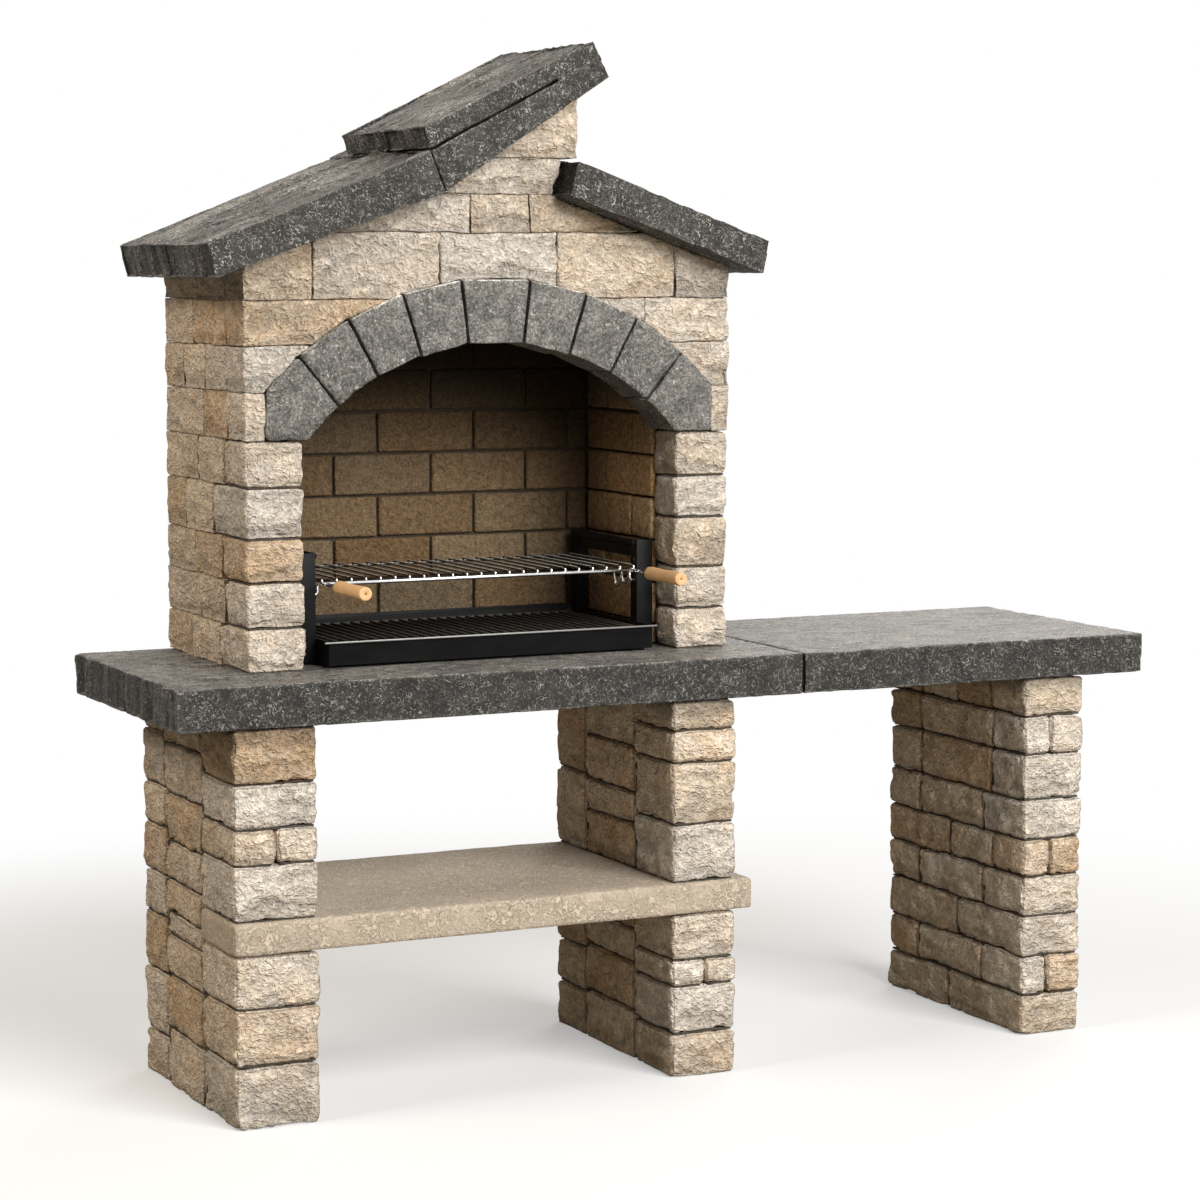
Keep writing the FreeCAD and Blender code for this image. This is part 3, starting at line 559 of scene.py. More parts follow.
def rounded_block(spans, step, radius):
    """Surface of a box from the origin with rounded arrises: points, quads and the distance to an arris."""
    steps = [stations(span, step, radius) for span in spans]
    shape = tuple(len(each) for each in steps)
    outside = np.ones(shape, bool)
    outside[1:-1, 1:-1, 1:-1] = False
    numbers = np.full(shape, -1)
    numbers[outside] = np.arange(outside.sum())
    points = np.stack([each[place] for each, place in zip(steps, np.nonzero(outside))], axis=1)
    quads = []
    for axis in range(3):
        for end in (0, -1):
            quad = sheet_quads(np.take(numbers, end, axis=axis))
            quads.append(quad if (end == -1) == (axis != 1) else quad[:, ::-1])
    spans = np.array(spans)
    to_arris = np.sort(np.minimum(points, spans - points), axis=1)[:, 1]
    core = np.clip(points, radius, spans - radius)
    out = points - core
    return core + out / np.linalg.norm(out, axis=1, keepdims=True) * radius, np.concatenate(quads), to_arris


def blank_of(corners, triangles, step, radius, axes=np.eye(3)):
    """Fine mesh of a solid with rounded arrises: points, quads, normals and nearness to an arris.

    A four-sided prism is built as a rounded block, and any other solid from voxels."""
    step *= 1
    outline = prism_outline(corners, triangles)
    if outline is None:
        fine, quads = remeshed(corners, triangles, step)
        points = smoothed(fine, quads)
        normals = normals_of(points, quads)
        near = eased_step(0.97, 0.74, np.abs(normals @ axes).max(axis=1))
        fill = CAD_EASE / math.sqrt(2) - (math.sqrt(2) - 1) * radius
        return raised(points, normals, near * fill), quads, normals, near
    low_left, low_right, high_right, high_left = outline
    front = corners[:, 1].min()
    width = (np.linalg.norm(low_right - low_left) + np.linalg.norm(high_right - high_left)) / 2
    height = (np.linalg.norm(high_left - low_left) + np.linalg.norm(high_right - low_right)) / 2
    spans = (width, np.ptp(corners[:, 1]), height)
    local, quads, to_arris = rounded_block(spans, step, min(radius, min(spans) / 3))
    across = local[:, :1] / width
    up = local[:, 2:] / height
    section = (1 - up) * ((1 - across) * low_left + across * low_right)
    section += up * ((1 - across) * high_left + across * high_right)
    points = np.stack((section[:, 0], front + local[:, 1], section[:, 1]), axis=1)
    return points, quads, normals_of(points, quads), eased_step(radius * ARRIS_REACH, 0.0, to_arris)


class Carving:
    """Shapes of one piece, with values for their points, gathered into one mesh."""

    def __init__(self):
        self.points = []
        self.faces = []
        self.values = {}
        self.count = 0

    def add(self, points, faces, **values):
        faces = faces.tolist() if isinstance(faces, np.ndarray) else faces
        self.points.append(np.array(points))
        self.faces.extend([self.count + corner for corner in face] for face in faces)
        self.count += len(points)
        for name, value in values.items():
            self.values.setdefault(name, []).append(np.broadcast_to(value, len(points)))

    def piece(self, name, keep=1.0):
        """The piece, thinned to that share of its faces where its surface is flat enough."""
        mesh = new_mesh(name, np.concatenate(self.points), self.faces)
        for attribute, values in self.values.items():
            layer = mesh.attributes.new(attribute, "FLOAT", "POINT")
            layer.data.foreach_set("value", np.concatenate(values).astype(np.float32))
        piece = linked(name, mesh)
        if keep < 1:
            thin = piece.modifiers.new("thin", "DECIMATE")
            thin.ratio = keep
            piece.data = evaluated_mesh(piece)
            piece.modifiers.clear()
            bpy.data.meshes.remove(mesh)
            piece.data.name = name
        piece.data.shade_smooth()
        return piece


def place(piece, body, finish, node, slot=None):
    """Gives a piece its finish, and rides it on its body in place of the CAD node."""
    piece.data.materials.clear()
    piece.data.materials.append(bpy.data.materials.get(finish + "_finish") or FINISHES[finish]())
    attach(piece, body)
    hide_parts(node)


def seed_of(node, number=0):
    return sum(ord(letter) * rank for rank, letter in enumerate(node, 1)) + 1009 * number


def chance(seed):
    """A fixed value from 0 to 1 for a seed."""
    return float(lattice_value(np.array([[seed, 7, 13]]), 5)[0] + 1) / 2


# Rods, turned pieces and folded sheet

def bent(corners, radius, steps=5):
    """Path through the corners with each inner corner turned on an arc."""
    corners = [Vector(corner) for corner in corners]
    path = [corners[0]]
    for before, corner, after in zip(corners, corners[1:], corners[2:]):
        incoming = (before - corner).normalized()
        outgoing = (after - corner).normalized()
        half = incoming.angle(outgoing) / 2
        reach = min(radius / math.tan(half), (before - corner).length / 2, (after - corner).length / 2)
        middle = corner + (incoming + outgoing).normalized() * (reach / math.cos(half))
        start = corner + incoming * reach - middle
        end = corner + outgoing * reach - middle
        sweep = start.angle(end)
        for step in range(steps + 1):
            swung = sweep * step / steps
            arm = (start * math.sin(sweep - swung) + end * math.sin(swung)) / math.sin(sweep)
            path.append(middle + arm)
    path.append(corners[-1])
    return path


def ring(centre, side, other, radius, sides):
    """Points of a circle in the plane of two directions."""
    angles = [2 * math.pi * number / sides for number in range(sides)]
    return [centre + (side * math.cos(angle) + other * math.sin(angle)) * radius for angle in angles]


def tube_faces(rings, sides):
    """Faces of a tube through rings of points, with a cap at each end."""
    last = (rings - 1) * sides
    faces = [tuple(reversed(range(sides))), tuple(range(last, last + sides))]
    for start in range(0, last, sides):
        for number in range(sides):
            after = (number + 1) % sides
            faces.append((start + number, start + after, start + sides + after, start + sides + number))
    return faces


def wire(path, radius, sides=10):
    """Round wire along a path, with domed ends, as (points, faces)."""
    path = [Vector(point) for point in path]
    runs = [(after - before).normalized() for before, after in zip(path, path[1:])]
    aims = [runs[0]] + [(a + b).normalized() for a, b in zip(runs, runs[1:])] + [runs[-1]]
    stops = [(path[0] - aims[0] * radius * WIRE_DOME, aims[0], WIRE_TIP)]
    stops += [(point, aim, 1.0) for point, aim in zip(path, aims)]
    stops.append((path[-1] + aims[-1] * radius * WIRE_DOME, aims[-1], WIRE_TIP))
    points = []
    side = aims[0].orthogonal().normalized()
    for centre, aim, width in stops:
        side = (side - aim * side.dot(aim)).normalized()
        points += ring(centre, side, aim.cross(side), radius * width, sides)
    return points, tube_faces(len(stops), sides)


def turned(profile, centre, axis, sides):
    """Closed turned shape: profile of (along, radius) pairs round an axis through a centre."""
    axis = Vector(axis)
    side = axis.orthogonal().normalized()
    points = []
    for along, radius in profile:
        points += ring(Vector(centre) + axis * along, side, axis.cross(side), radius, sides)
    return points, tube_faces(len(profile), sides)


def folded_copy(node, name, width, rim=None):
    """A CAD node of sheet steel with its edges rounded, and with a rim if it has one."""
    shape = bmesh.new()
    shape.from_mesh(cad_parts[node].data)
    bmesh.ops.remove_doubles(shape, verts=shape.verts, dist=WELD_DISTANCE)
    inner = [edge for edge in shape.edges if len(edge.link_faces) == 2]
    flat = [edge for edge in inner if edge.calc_face_angle() < FLAT_ANGLE]
    bmesh.ops.dissolve_edges(shape, edges=flat, use_verts=True)
    inner = [edge for edge in shape.edges if len(edge.link_faces) == 2]
    folds = [edge for edge in inner if edge.calc_face_angle() > FOLD_ANGLE]
    bmesh.ops.bevel(shape, geom=folds, offset=width, segments=3, profile=0.5, affect="EDGES",
                    clamp_overlap=True)
    if rim:
        points, faces = rim
        corners = [shape.verts.new(point) for point in points]
        for face in faces:
            shape.faces.new([corners[number] for number in face])
    mesh = bpy.data.meshes.new(name)
    shape.to_mesh(mesh)
    shape.free()
    mesh.shade_smooth()
    mesh.set_sharp_from_angle(angle=math.radians(SHARP_ANGLE))
    return linked(name, mesh)


# Shader expressions

class Field:
    """A shader value that takes part in Python arithmetic by adding Math nodes."""

    def __init__(self, nodes, socket):
        self.nodes = nodes
        self.socket = socket

    def maths(self, operation, first, second):
        return self.nodes.add("ShaderNodeMath", {"operation": operation}, {0: first, 1: second})

    def __add__(self, other):
        return self.maths("ADD", self, other)

    __radd__ = __add__

    def __sub__(self, other):
        return self.maths("SUBTRACT", self, other)

    def __rsub__(self, other):
        return self.maths("SUBTRACT", other, self)

    def __mul__(self, other):
        return self.maths("MULTIPLY", self, other)

    __rmul__ = __mul__

    def away_from(self, level):
        """Distance of the value from a level."""
        return self.maths("ABSOLUTE", self - level, 0.0)

    def between(self, low, high, to_low=0.0, to_high=1.0):
        """The value eased from one range to another."""
        sockets = {"Value": self, "From Min": low, "From Max": high, "To Min": to_low, "To Max": to_high}
        return self.nodes.add("ShaderNodeMapRange", {"interpolation_type": "SMOOTHSTEP"}, sockets)


class Nodes:
    """A node tree whose every node comes from add()."""

    def __init__(self, tree):
        self.tree = tree

    def add(self, kind, settings=None, sockets=None, output=0):
        """Adds a node with its settings, then its sockets, and returns one of its outputs as a Field."""
        node = self.tree.nodes.new(kind)
        for name, value in (settings or {}).items():
            if name == "stops":
                while len(node.color_ramp.elements) < len(value):
                    node.color_ramp.elements.new(1.0)
                for element, (position, tint) in zip(node.color_ramp.elements, value):
                    element.position = position
                    element.color = (*tint, 1.0)
            else:
                setattr(node, name, value)
        for name, value in (sockets or {}).items():
            self.put(node, name, value)
        return Field(self, node.outputs[output])

    def put(self, node, name, value):
        """Links or sets one socket, found by its number, identifier or name."""
        if isinstance(name, int):
            socket = node.inputs[name]
        else:
            named = [each for each in node.inputs if each.identifier == name]
            socket = named[0] if named else node.inputs[name]
        if isinstance(value, Field):
            self.tree.links.new(value.socket, socket)
        elif socket.type == "RGBA":
            socket.default_value = (*value, 1.0)
        else:
            socket.default_value = value

    def output_of(self, kind, name):
        """A named output of a node that needs no settings."""
        node = self.tree.nodes.new(kind)
        return Field(self, node.outputs[name])

    def attribute(self, name):
        return self.add("ShaderNodeAttribute", {"attribute_name": name}, output="Fac")

    def noise(self, where, scale, detail=3.0, roughness=0.55, distortion=0.0):
        sockets = {"Vector": where, "Scale": scale, "Detail": detail, "Roughness": roughness,
                   "Distortion": distortion}
        return self.add("ShaderNodeTexNoise", {}, sockets, output="Fac")

    def part(self, vector, axis):
        """The X, Y or Z of a vector."""
        return self.add("ShaderNodeSeparateXYZ", {}, {0: vector}, output=axis)

    def stretched(self, where, scale):
        return self.add("ShaderNodeVectorMath", {"operation": "MULTIPLY"}, {0: where, 1: scale})

    def shifted(self, where, seed, spread):
        """Coordinates moved by a different amount for each stone."""
        shifts = {0: seed * spread, 1: seed * spread * 1.7, 2: seed * spread * 0.6}
        apart = self.add("ShaderNodeCombineXYZ", {}, shifts)
        return self.add("ShaderNodeVectorMath", {"operation": "ADD"}, {0: where, 1: apart})

    def mixed(self, share_of_b, a, b, blend="MIX"):
        return self.add("ShaderNodeMix", {"data_type": "RGBA", "blend_type": blend, "clamp_factor": True},
                        {"Factor_Float": share_of_b, "A_Color": a, "B_Color": b}, output="Result")

    def shaded(self, tint, level):
        """A colour multiplied by a value."""
        grey = self.add("ShaderNodeCombineColor", {}, {0: level, 1: level, 2: level})
        return self.mixed(1.0, tint, grey, "MULTIPLY")


class Finish(Nodes):
    """A material, whose constant sockets are set by name."""

    def __init__(self, name, **constants):
        self.material = bpy.data.materials.new(name)
        self.material.use_nodes = True
        super().__init__(self.material.node_tree)
        self.surface = self.tree.nodes["Principled BSDF"]
        for socket, value in constants.items():
            self.feed(socket.replace("_", " "), value)
        self.where = self.output_of("ShaderNodeTexCoord", "Object")

    def feed(self, socket, value):
        self.put(self.surface, socket, value)

    def bump(self, height, depth, strength=1.0):
        self.feed("Normal", self.add("ShaderNodeBump", {}, {"Strength": strength, "Distance": depth,
                                                            "Height": height}))


# Finishes

def split_stone():
    """Pale limestone split by hand: mottled cream and tan with rusty stains and a broken grain."""
    stone = chosen("stone")
    finish = Finish("split_stone_finish", Specular_IOR_Level=0.2)
    warmth = finish.attribute("warmth")
    where = finish.shifted(finish.where, finish.attribute("stone_seed"), 3.0)
    patches = finish.noise(where, 12.0, 4.0, 0.6)
    streaks = finish.noise(finish.stretched(where, (9.0, 9.0, 26.0)), 2.4, 4.0, 0.6)
    tone = warmth + (patches - 0.5) * 1.1 + (streaks - 0.5) * 0.7
    stops = ((0.0, stone.pale), (0.5, stone.tan), (1.0, stone.ochre))
    body = finish.add("ShaderNodeValToRGB", {"stops": stops}, {"Fac": tone})
    rust = finish.noise(where, 42.0, 5.0, 0.7).between(0.56, 0.72) * (warmth * 0.55 + 0.1)
    body = finish.mixed(rust, body, stone.ochre)
    strokes = finish.noise(where, 62.0, 2.0, 0.5, 1.8).between(0.3, 0.7)
    breaks = finish.noise(finish.stretched(where, (1.0, 1.0, 1.8)), 40.0, 3.0, 0.6, 1.2).between(0.3, 0.7)
    grain = finish.noise(where, 220.0, 3.0, 0.75).between(0.25, 0.75)
    # Painted shade in the hollows of the relief and a painted highlight on its raised parts
    painted_relief_shade = finish.attribute("height").between(-1.6, 0.6, 0.68, 1.08)
    # Painted shade along every arris, which also darkens the joints between the stones
    joint = finish.attribute("near").between(0.85, 1.0, 1.0, 0.6)
    level = (strokes - 0.5) * 0.36 + (breaks - 0.5) * 0.3 + (grain - 0.5) * 0.28 + 1.0
    finish.feed("Base Color", finish.shaded(body, level * painted_relief_shade * joint * finish.attribute("shade")))
    finish.feed("Roughness", grain.between(0.2, 0.8, 0.8, 0.95))
    finish.bump(strokes * 0.8 + breaks + grain * 0.25, 0.0042, 1.0)
    return finish.material


def slate_finish(name, dark, light, stroke_share, contrast, arris_wear_and_highlight):
    """Dark cleft slate with short pale strokes and fine grain; paler arrises, partly wear and partly a
    painted highlight; upper faces painted lighter as a painted sheen, with a coat.
    """
    slate = chosen("slate")
    finish = Finish(name, Specular_IOR_Level=0.18, Coat_Roughness=0.5)
    where = finish.where
    layers = finish.noise(where, 8.0, 5.0, 0.6)
    cloud = finish.noise(where, 36.0, 4.0, 0.65)
    body = finish.mixed((layers * 0.3 + cloud * 0.75).between(0.34, 0.72), dark, light)
    grain = finish.noise(where, 190.0, 3.0, 0.7).between(0.25, 0.75)
    swirl = finish.noise(where, 58.0, 2.0, 0.5, 1.8)
    patch = finish.noise(where, 22.0, 3.0).between(0.38, 0.6, 0.5, 1.0)
    facing = finish.output_of("ShaderNodeNewGeometry", "Normal")
    up = finish.part(facing, "Z").between(0.55, 0.9)
    strokes = swirl.away_from(0.5).between(0.04, 0.008) * patch * grain.between(0.05, 0.4) * (1 - up * 0.6)
    near = finish.attribute("near")
    # Paler arrises: partly wear, partly a painted highlight
    worn = near.between(0.6, 1.0) * cloud.between(0.35, 0.6)
    body = finish.mixed(strokes * stroke_share + worn * arris_wear_and_highlight, body, slate.fleck)
    # Painted shade in the hollows of the relief and a painted highlight on its raised parts
    painted_relief_shade = finish.attribute("height").between(-1.0, 0.4, 0.6, 1.12)
    bedding_lines = finish.noise(finish.stretched(where, (1.0, 2.4, 1.0)), 7.0, 5.0, 0.65, 0.7)
    cracks = bedding_lines.away_from(0.5).between(0.022, 0.004) * up
    # Upper faces are painted up to 3.7 times lighter, as a painted sheen
    level = ((grain - 0.5) * contrast + 1.0) * painted_relief_shade * (1 - cracks * 0.7) * (up * 2.7 + 1.0)
    finish.feed("Base Color", finish.shaded(body, level * finish.attribute("shade")))
    finish.feed("Roughness", cloud.between(0.3, 0.7, 0.55, 0.75))
    finish.feed("Coat Weight", up * cloud.between(0.3, 0.7, 0.12, 0.3) * (1 - cracks * 0.7))
    finish.bump(swirl * 0.7 + cloud + strokes * 0.3 + grain * 0.15, 0.006, 0.9)
    return finish.material


def slab_slate():
    slate = chosen("slate")
    return slate_finish("slab_slate_finish", slate.dark, slate.light,
                        stroke_share=0.6, contrast=0.8, arris_wear_and_highlight=0.12)


def arch_slate():
    slate = chosen("slate")
    return slate_finish("arch_slate_finish", slate.arch_dark, slate.arch_light,
                        stroke_share=0.85, contrast=1.2, arris_wear_and_highlight=0.45)


def shelf_stone():
    """Sawn beige stone with fine pits."""
    shelf = chosen("shelf")
    finish = Finish("shelf_stone_finish", Specular_IOR_Level=0.3)
    cloud = finish.noise(finish.where, 9.0, 4.0)
    grain = finish.noise(finish.where, 170.0, 3.0, 0.7)
    swirl = finish.noise(finish.where, 66.0, 2.0, 0.5, 1.8)
    pits = swirl.away_from(0.5).between(0.05, 0.01) * cloud.between(0.35, 0.65)
    body = finish.mixed(pits * 0.5, shelf.body, shelf.pit)
    level = (cloud - 0.5) * 0.6 + (grain - 0.5) * 0.9 + (swirl - 0.5) * 0.8 + 1.0
    finish.feed("Base Color", finish.shaded(body, level))
    finish.feed("Roughness", grain.between(0.2, 0.8, 0.7, 0.9))
    finish.bump(grain * 0.5 + swirl - pits * 0.6, 0.004, 0.9)
    return finish.material


def firebrick():
    """Sandy pressed brick."""
    hearth = chosen("hearth")
    finish = Finish("firebrick_finish", Specular_IOR_Level=0.2)
    where = finish.shifted(finish.where, finish.attribute("stone_seed"), 2.0)
    cloud = finish.noise(where, 13.0, 4.0, 0.6)
    sand = finish.noise(where, 170.0, 2.0, 0.8).between(0.25, 0.75)
    crumbs = finish.noise(where, 75.0, 3.0, 0.7).between(0.25, 0.75)
    burn = finish.attribute("warmth") + (cloud - 0.5) * 0.9
    body = finish.mixed(burn, hearth.sandy, hearth.burnt)
    height = finish.part(finish.where, "Z")
    # Darker with height: soot, which also paints the shade under the arch; darker again into the back corners
    # as painted shade
    soot_and_shade = height.between(SOOT_AND_SHADE_START, SOOT_AND_SHADE_FULL, 1.0, 0.08)
    low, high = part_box("firebox_back_bricks")
    across = finish.part(finish.where, "X")
    depth = finish.part(finish.where, "Y")
    half = (high.x - low.x) / 2
    aside = across.away_from((low.x + high.x) / 2).between(half - CORNER_SHADE_REACH, half)
    soot_and_shade = soot_and_shade * (1 - aside * depth.between(low.y - CORNER_SHADE_REACH, low.y) * 0.5)
    level = (sand - 0.5) * 0.75 + (crumbs - 0.5) * 0.5 + 1.0
    finish.feed("Base Color", finish.shaded(body, level * soot_and_shade * finish.attribute("shade")))
    finish.feed("Roughness", sand.between(0.2, 0.8, 0.85, 1.0))
    finish.bump(sand * 0.6 + crumbs, 0.003, 0.9)
    return finish.material


def mortar():
    """Rough bed that fills the joints of the lining."""
    hearth = chosen("hearth")
    finish = Finish("mortar_finish", Specular_IOR_Level=0.2)
    cloud = finish.noise(finish.where, 16.0, 4.0)
    sand = finish.noise(finish.where, 260.0, 2.0, 0.8)
    level = (cloud - 0.5) * 0.7 + (sand - 0.5) * 0.7 + 1.0
    finish.feed("Base Color", finish.shaded(hearth.mortar, level))
    finish.feed("Roughness", sand.between(0.2, 0.8, 0.85, 1.0))
    finish.bump(sand + cloud, 0.002, 0.8)
    return finish.material


def black_steel():
    """Satin black paint with faint dust and rubbed patches; the pan's hem is worn bare."""
    insert = chosen("insert")
    finish = Finish("black_steel_finish", Specular_IOR_Level=0.12)
    smears = finish.noise(finish.stretched(finish.where, (3.0, 3.0, 9.0)), 4.0, 4.0, 0.6)
    orange_peel = finish.noise(finish.where, 300.0, 2.0)
    dust = finish.noise(finish.where, 60.0, 4.0, 0.7).between(0.5, 0.85)
    painted = finish.shaded(insert.steel, smears * 0.5 + dust * 0.6 + 0.7)
    hem_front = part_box("ember_pan")[0].y + HEM_DEPTH
    depth = finish.part(finish.where, "Y")
    height = finish.part(finish.where, "Z")
    hem = depth.between(hem_front + HEM_FADE, hem_front)
    hem = hem * height.between(HEM_TOP - HEM_PAINT, HEM_TOP - HEM_WEAR)
    worn = hem * smears.between(0.2, 0.5, 0.75, 1.0)
    finish.feed("Base Color", finish.mixed(worn, painted, insert.hem))
    finish.feed("Metallic", worn)
    finish.feed("Roughness", smears.between(0.3, 0.7, 0.36, 0.52))
    finish.bump(orange_peel, 0.0004, 0.25)
    return finish.material


def grate_iron():
    """Dark iron with ash dust and a little rust."""
    insert = chosen("insert")
    finish = Finish("grate_iron_finish", Specular_IOR_Level=0.4)
    cloud = finish.noise(finish.where, 24.0, 4.0, 0.6)
    crust = finish.noise(finish.where, 140.0, 4.0, 0.7)
    rust = cloud.between(0.45, 0.7) * 0.6
    body = finish.mixed(rust, insert.iron, insert.rust)
    finish.feed("Base Color", finish.shaded(body, (crust - 0.5) * 0.8 + 1.0))
    finish.feed("Roughness", crust.between(0.3, 0.7, 0.6, 0.85))
    finish.bump(crust, 0.001, 0.6)
    return finish.material


def chromed_wire():
    """Bright chrome with faint heat haze."""
    insert = chosen("insert")
    finish = Finish("chromed_wire_finish")
    haze = finish.noise(finish.where, 30.0, 3.0)
    specks = finish.noise(finish.where, 320.0, 2.0).between(0.62, 0.75)
    facing = finish.output_of("ShaderNodeNewGeometry", "Normal")
    up = finish.part(facing, "Z")
    depth = finish.part(finish.where, "Y")
    height = finish.part(finish.where, "Z")
    grid_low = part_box("cooking_grid")[0]
    over_fire = depth.between(grid_low.y + GRID_FRONT_BAR, grid_low.y + 2 * GRID_FRONT_BAR)
    over_fire = over_fire * height.between(grid_low.z + 0.001, grid_low.z + 0.003)
    # Over the fire the wires are dark on their sides and undersides and pale on top, by their normal: soot,
    # with painted shade below and a painted highlight on top
    soot_and_shade = over_fire * up.between(0.75, 0.35)
    clean = finish.mixed(soot_and_shade, insert.chrome, insert.soot_and_shade)
    finish.feed("Base Color", finish.shaded(clean, (haze - 0.5) * 0.25 + 1.0 - specks * 0.2))
    finish.feed("Metallic", 1 - over_fire * 0.75)
    finish.feed("Roughness", haze.between(0.3, 0.7, 0.12, 0.28))
    finish.bump(specks, 0.0002, 0.3)
    return finish.material


def handle_wood():
    """Oiled wood with its grain along the grip and rings on the end."""
    insert = chosen("insert")
    finish = Finish("handle_wood_finish", Specular_IOR_Level=0.4)
    long_grain = finish.stretched(finish.where, (1.0, 0.07, 1.0))
    wander = finish.noise(long_grain, 60.0, 4.0, 0.6)
    pores = finish.noise(long_grain, 420.0, 2.0, 0.6).between(0.55, 0.75)
    cloud = finish.noise(finish.where, 28.0, 3.0)
    grain = wander.between(0.42, 0.68) * 0.5 + pores * 0.3
    body = finish.mixed(grain, insert.wood, insert.wood_grain)
    finish.feed("Base Color", finish.shaded(body, (cloud - 0.5) * 0.3 + 1.0))
    finish.feed("Roughness", wander.between(0.3, 0.7, 0.42, 0.58))
    finish.bump(wander * 0.6 - pores, 0.0006, 0.5)
    return finish.material


FINISH_MAKERS = (split_stone, slab_slate, arch_slate, shelf_stone, firebrick, mortar, black_steel, grate_iron,
                 chromed_wire, handle_wood)
FINISHES = {maker.__name__: maker for maker in FINISH_MAKERS}


# Surfaces of the masonry

def split_relief(points, normals, seed, stone):
    """Height of a split face: ledges, broken facets and a foot broken back, with flatter beds."""
    apart = seed % 97
    ledges = fractal(points / LEDGE_SIZE + apart, seed, 2)
    breaks = faceted(points / FACET_SIZE + apart, seed + 1)
    scoops = fractal(points / SCOOP_SIZE, seed + 2, 2)
    height = terraced(ledges, 1.8, 3.5) * 0.5 + breaks * 0.5 + scoops * 0.22 - 0.15
    height = height * stone.split_depth
    low = points[:, 2].min()
    up = (points[:, 2] - low) / np.ptp(points[:, 2])
    unevenness = fractal(points * (1, 1, 0) / BRINK_LENGTH + apart, seed + 4, 2)
    brink = 0.1 + 0.22 * chance(seed + 3) + 0.16 * unevenness
    height -= eased_step(brink + 0.05, brink - 0.04, up) * stone.undercut
    front = 1 + 0.35 * eased_step(0.5, 0.9, -normals[:, 1])
    exposed = 1 - 0.88 * eased_step(0.55, 0.85, np.abs(normals[:, 2]))
    return height * exposed * front


def wandered(points, reach):
    """Points moved by a slow noise that neighbouring stones share, so that their joints wander together."""
    slow = points / WANDER_LENGTH
    shift = np.stack([fractal(slow, axis, 2) for axis in range(3)], axis=1) * reach
    shift[:, 2] *= eased_step(0.0, WANDER_LENGTH, points[:, 2])
    return points + shift


def bedding(low, high, ease):
    """A joint's mortar between two corners."""
    low, high = np.array(low), np.array(high)
    points, quads, _ = rounded_block(high - low, BED_STEP, ease)
    return points + low, quads


def stone_joints(node, corners, gap):
    """Lower and upper corners of the mortar under a stone and, in a pier, behind it."""
    inset = chosen("stone").bed_inset
    low, high = corners.min(axis=0), corners.max(axis=0)
    joints = []
    if low[2] > WELD_DISTANCE:
        joints.append((low + (inset, inset, -gap / 2), (high[0] - inset, high[1] - inset, low[2] + gap / 2)))
    pier_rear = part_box("right_pier_stones")[1].y
    if node in PIER_NODES and high[1] < pier_rear - inset:
        joints.append(((low[0] + inset, high[1] - HEAD_BED, low[2] + gap), high + (-inset, HEAD_BED, -gap)))
    return joints


def dress_stones(node):
    """Sculpts every stone of a node on its bedding; the hood's walls have the tighter joints."""
    stone = chosen("stone")
    tight = node in WALL_NODES and "jamb" not in node
    gap, radius = (stone.wall_gap, stone.wall_round) if tight else (stone.pier_gap, stone.pier_round)
    tones = TONES.get(node, "").split()
    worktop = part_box("worktop_front_slab")[0].z
    carving = Carving()
    for number, (corners, triangles) in enumerate(shells_of(node)):
        seed = seed_of(node, number)
        points, quads, normals, near = blank_of(corners, triangles, stone.mesh_step, radius)
        height = split_relief(points, normals, seed, stone) * (1 - 0.6 * near)
        chips = eased_step(0.15, 0.65, fractal(points / STONE_CHIP, seed + 5, 2)) * near
        drawn = np.abs(normals) @ (HEAD_JOINT, HEAD_JOINT, 1.0) * gap / 2
        drawn += chips * CHIP_SHARE * radius
        points = wandered(raised(points, normals, height - drawn), stone.wander)
        if corners[:, 2].min() < WELD_DISTANCE:
            points[:, 2] -= points[:, 2].min()
        tone = tones[number] if tones else OTHER_TONES[int(chance(seed) * len(OTHER_TONES))]
        values = {"warmth": WARMTH[tone] + 0.16 * (chance(seed) - 0.5), "stone_seed": chance(seed + 2)}
        # Painted shade on the hood's stones, times a random tone for each stone
        shade = HOOD_PAINTED_SHADE.get(node, 1.0) * (0.94 + 0.12 * chance(seed + 1))
        # Painted shadow: the tops of the stones right under the worktop are painted darker
        below = points[:, 2] - worktop
        overhang_shadow = eased_step(-OVERHANG_SHADOW_REACH, 0.0, below) * (below < stone.pier_round)
        carving.add(points, quads, height=height / stone.split_depth, near=near,
                    shade=shade * (1 - OVERHANG_SHADOW_DARKENING * overhang_shadow), **values)
        for low, high in stone_joints(node, corners, gap):
            carving.add(*bedding(low, high, gap / 4), height=-1.0, near=1.0, shade=BED_SHADE, **values)
    return carving.piece("dressed_" + node, STONE_KEEP)


def slab_axes(corners, triangles):
    """Directions along, across and out of a slab, from its largest face."""
    a, b, c = (corners[triangles[:, side]] for side in range(3))
    facing = np.cross(b - a, c - a)
    out = facing[np.argmax(np.linalg.norm(facing, axis=1))]
    out = out / np.linalg.norm(out) * np.sign(out[2])
    across = np.array((0.0, 1.0, 0.0))
    along = np.cross(across, out)
    return np.stack((along, across, out), axis=1)


def seam_filling(corners, axis):
    """Dark filling of the seam at a slab's lower end along one of its own axes, within its faces."""
    start = corners.min(axis=0) + SEAM_SINK
    end = corners.max(axis=0) - SEAM_SINK
    upper = corners[:, 2] > (start[2] + end[2]) / 2
    start[2] = corners[~upper, 2].max() + SEAM_SINK
    end[2] = corners[upper, 2].min() - SEAM_SINK
    start[axis] = corners[:, axis].min() - SEAM_SINK / 2
    end[axis] = start[axis] + SEAM_SINK
    return bedding(start, end, SEAM_SINK / 4)


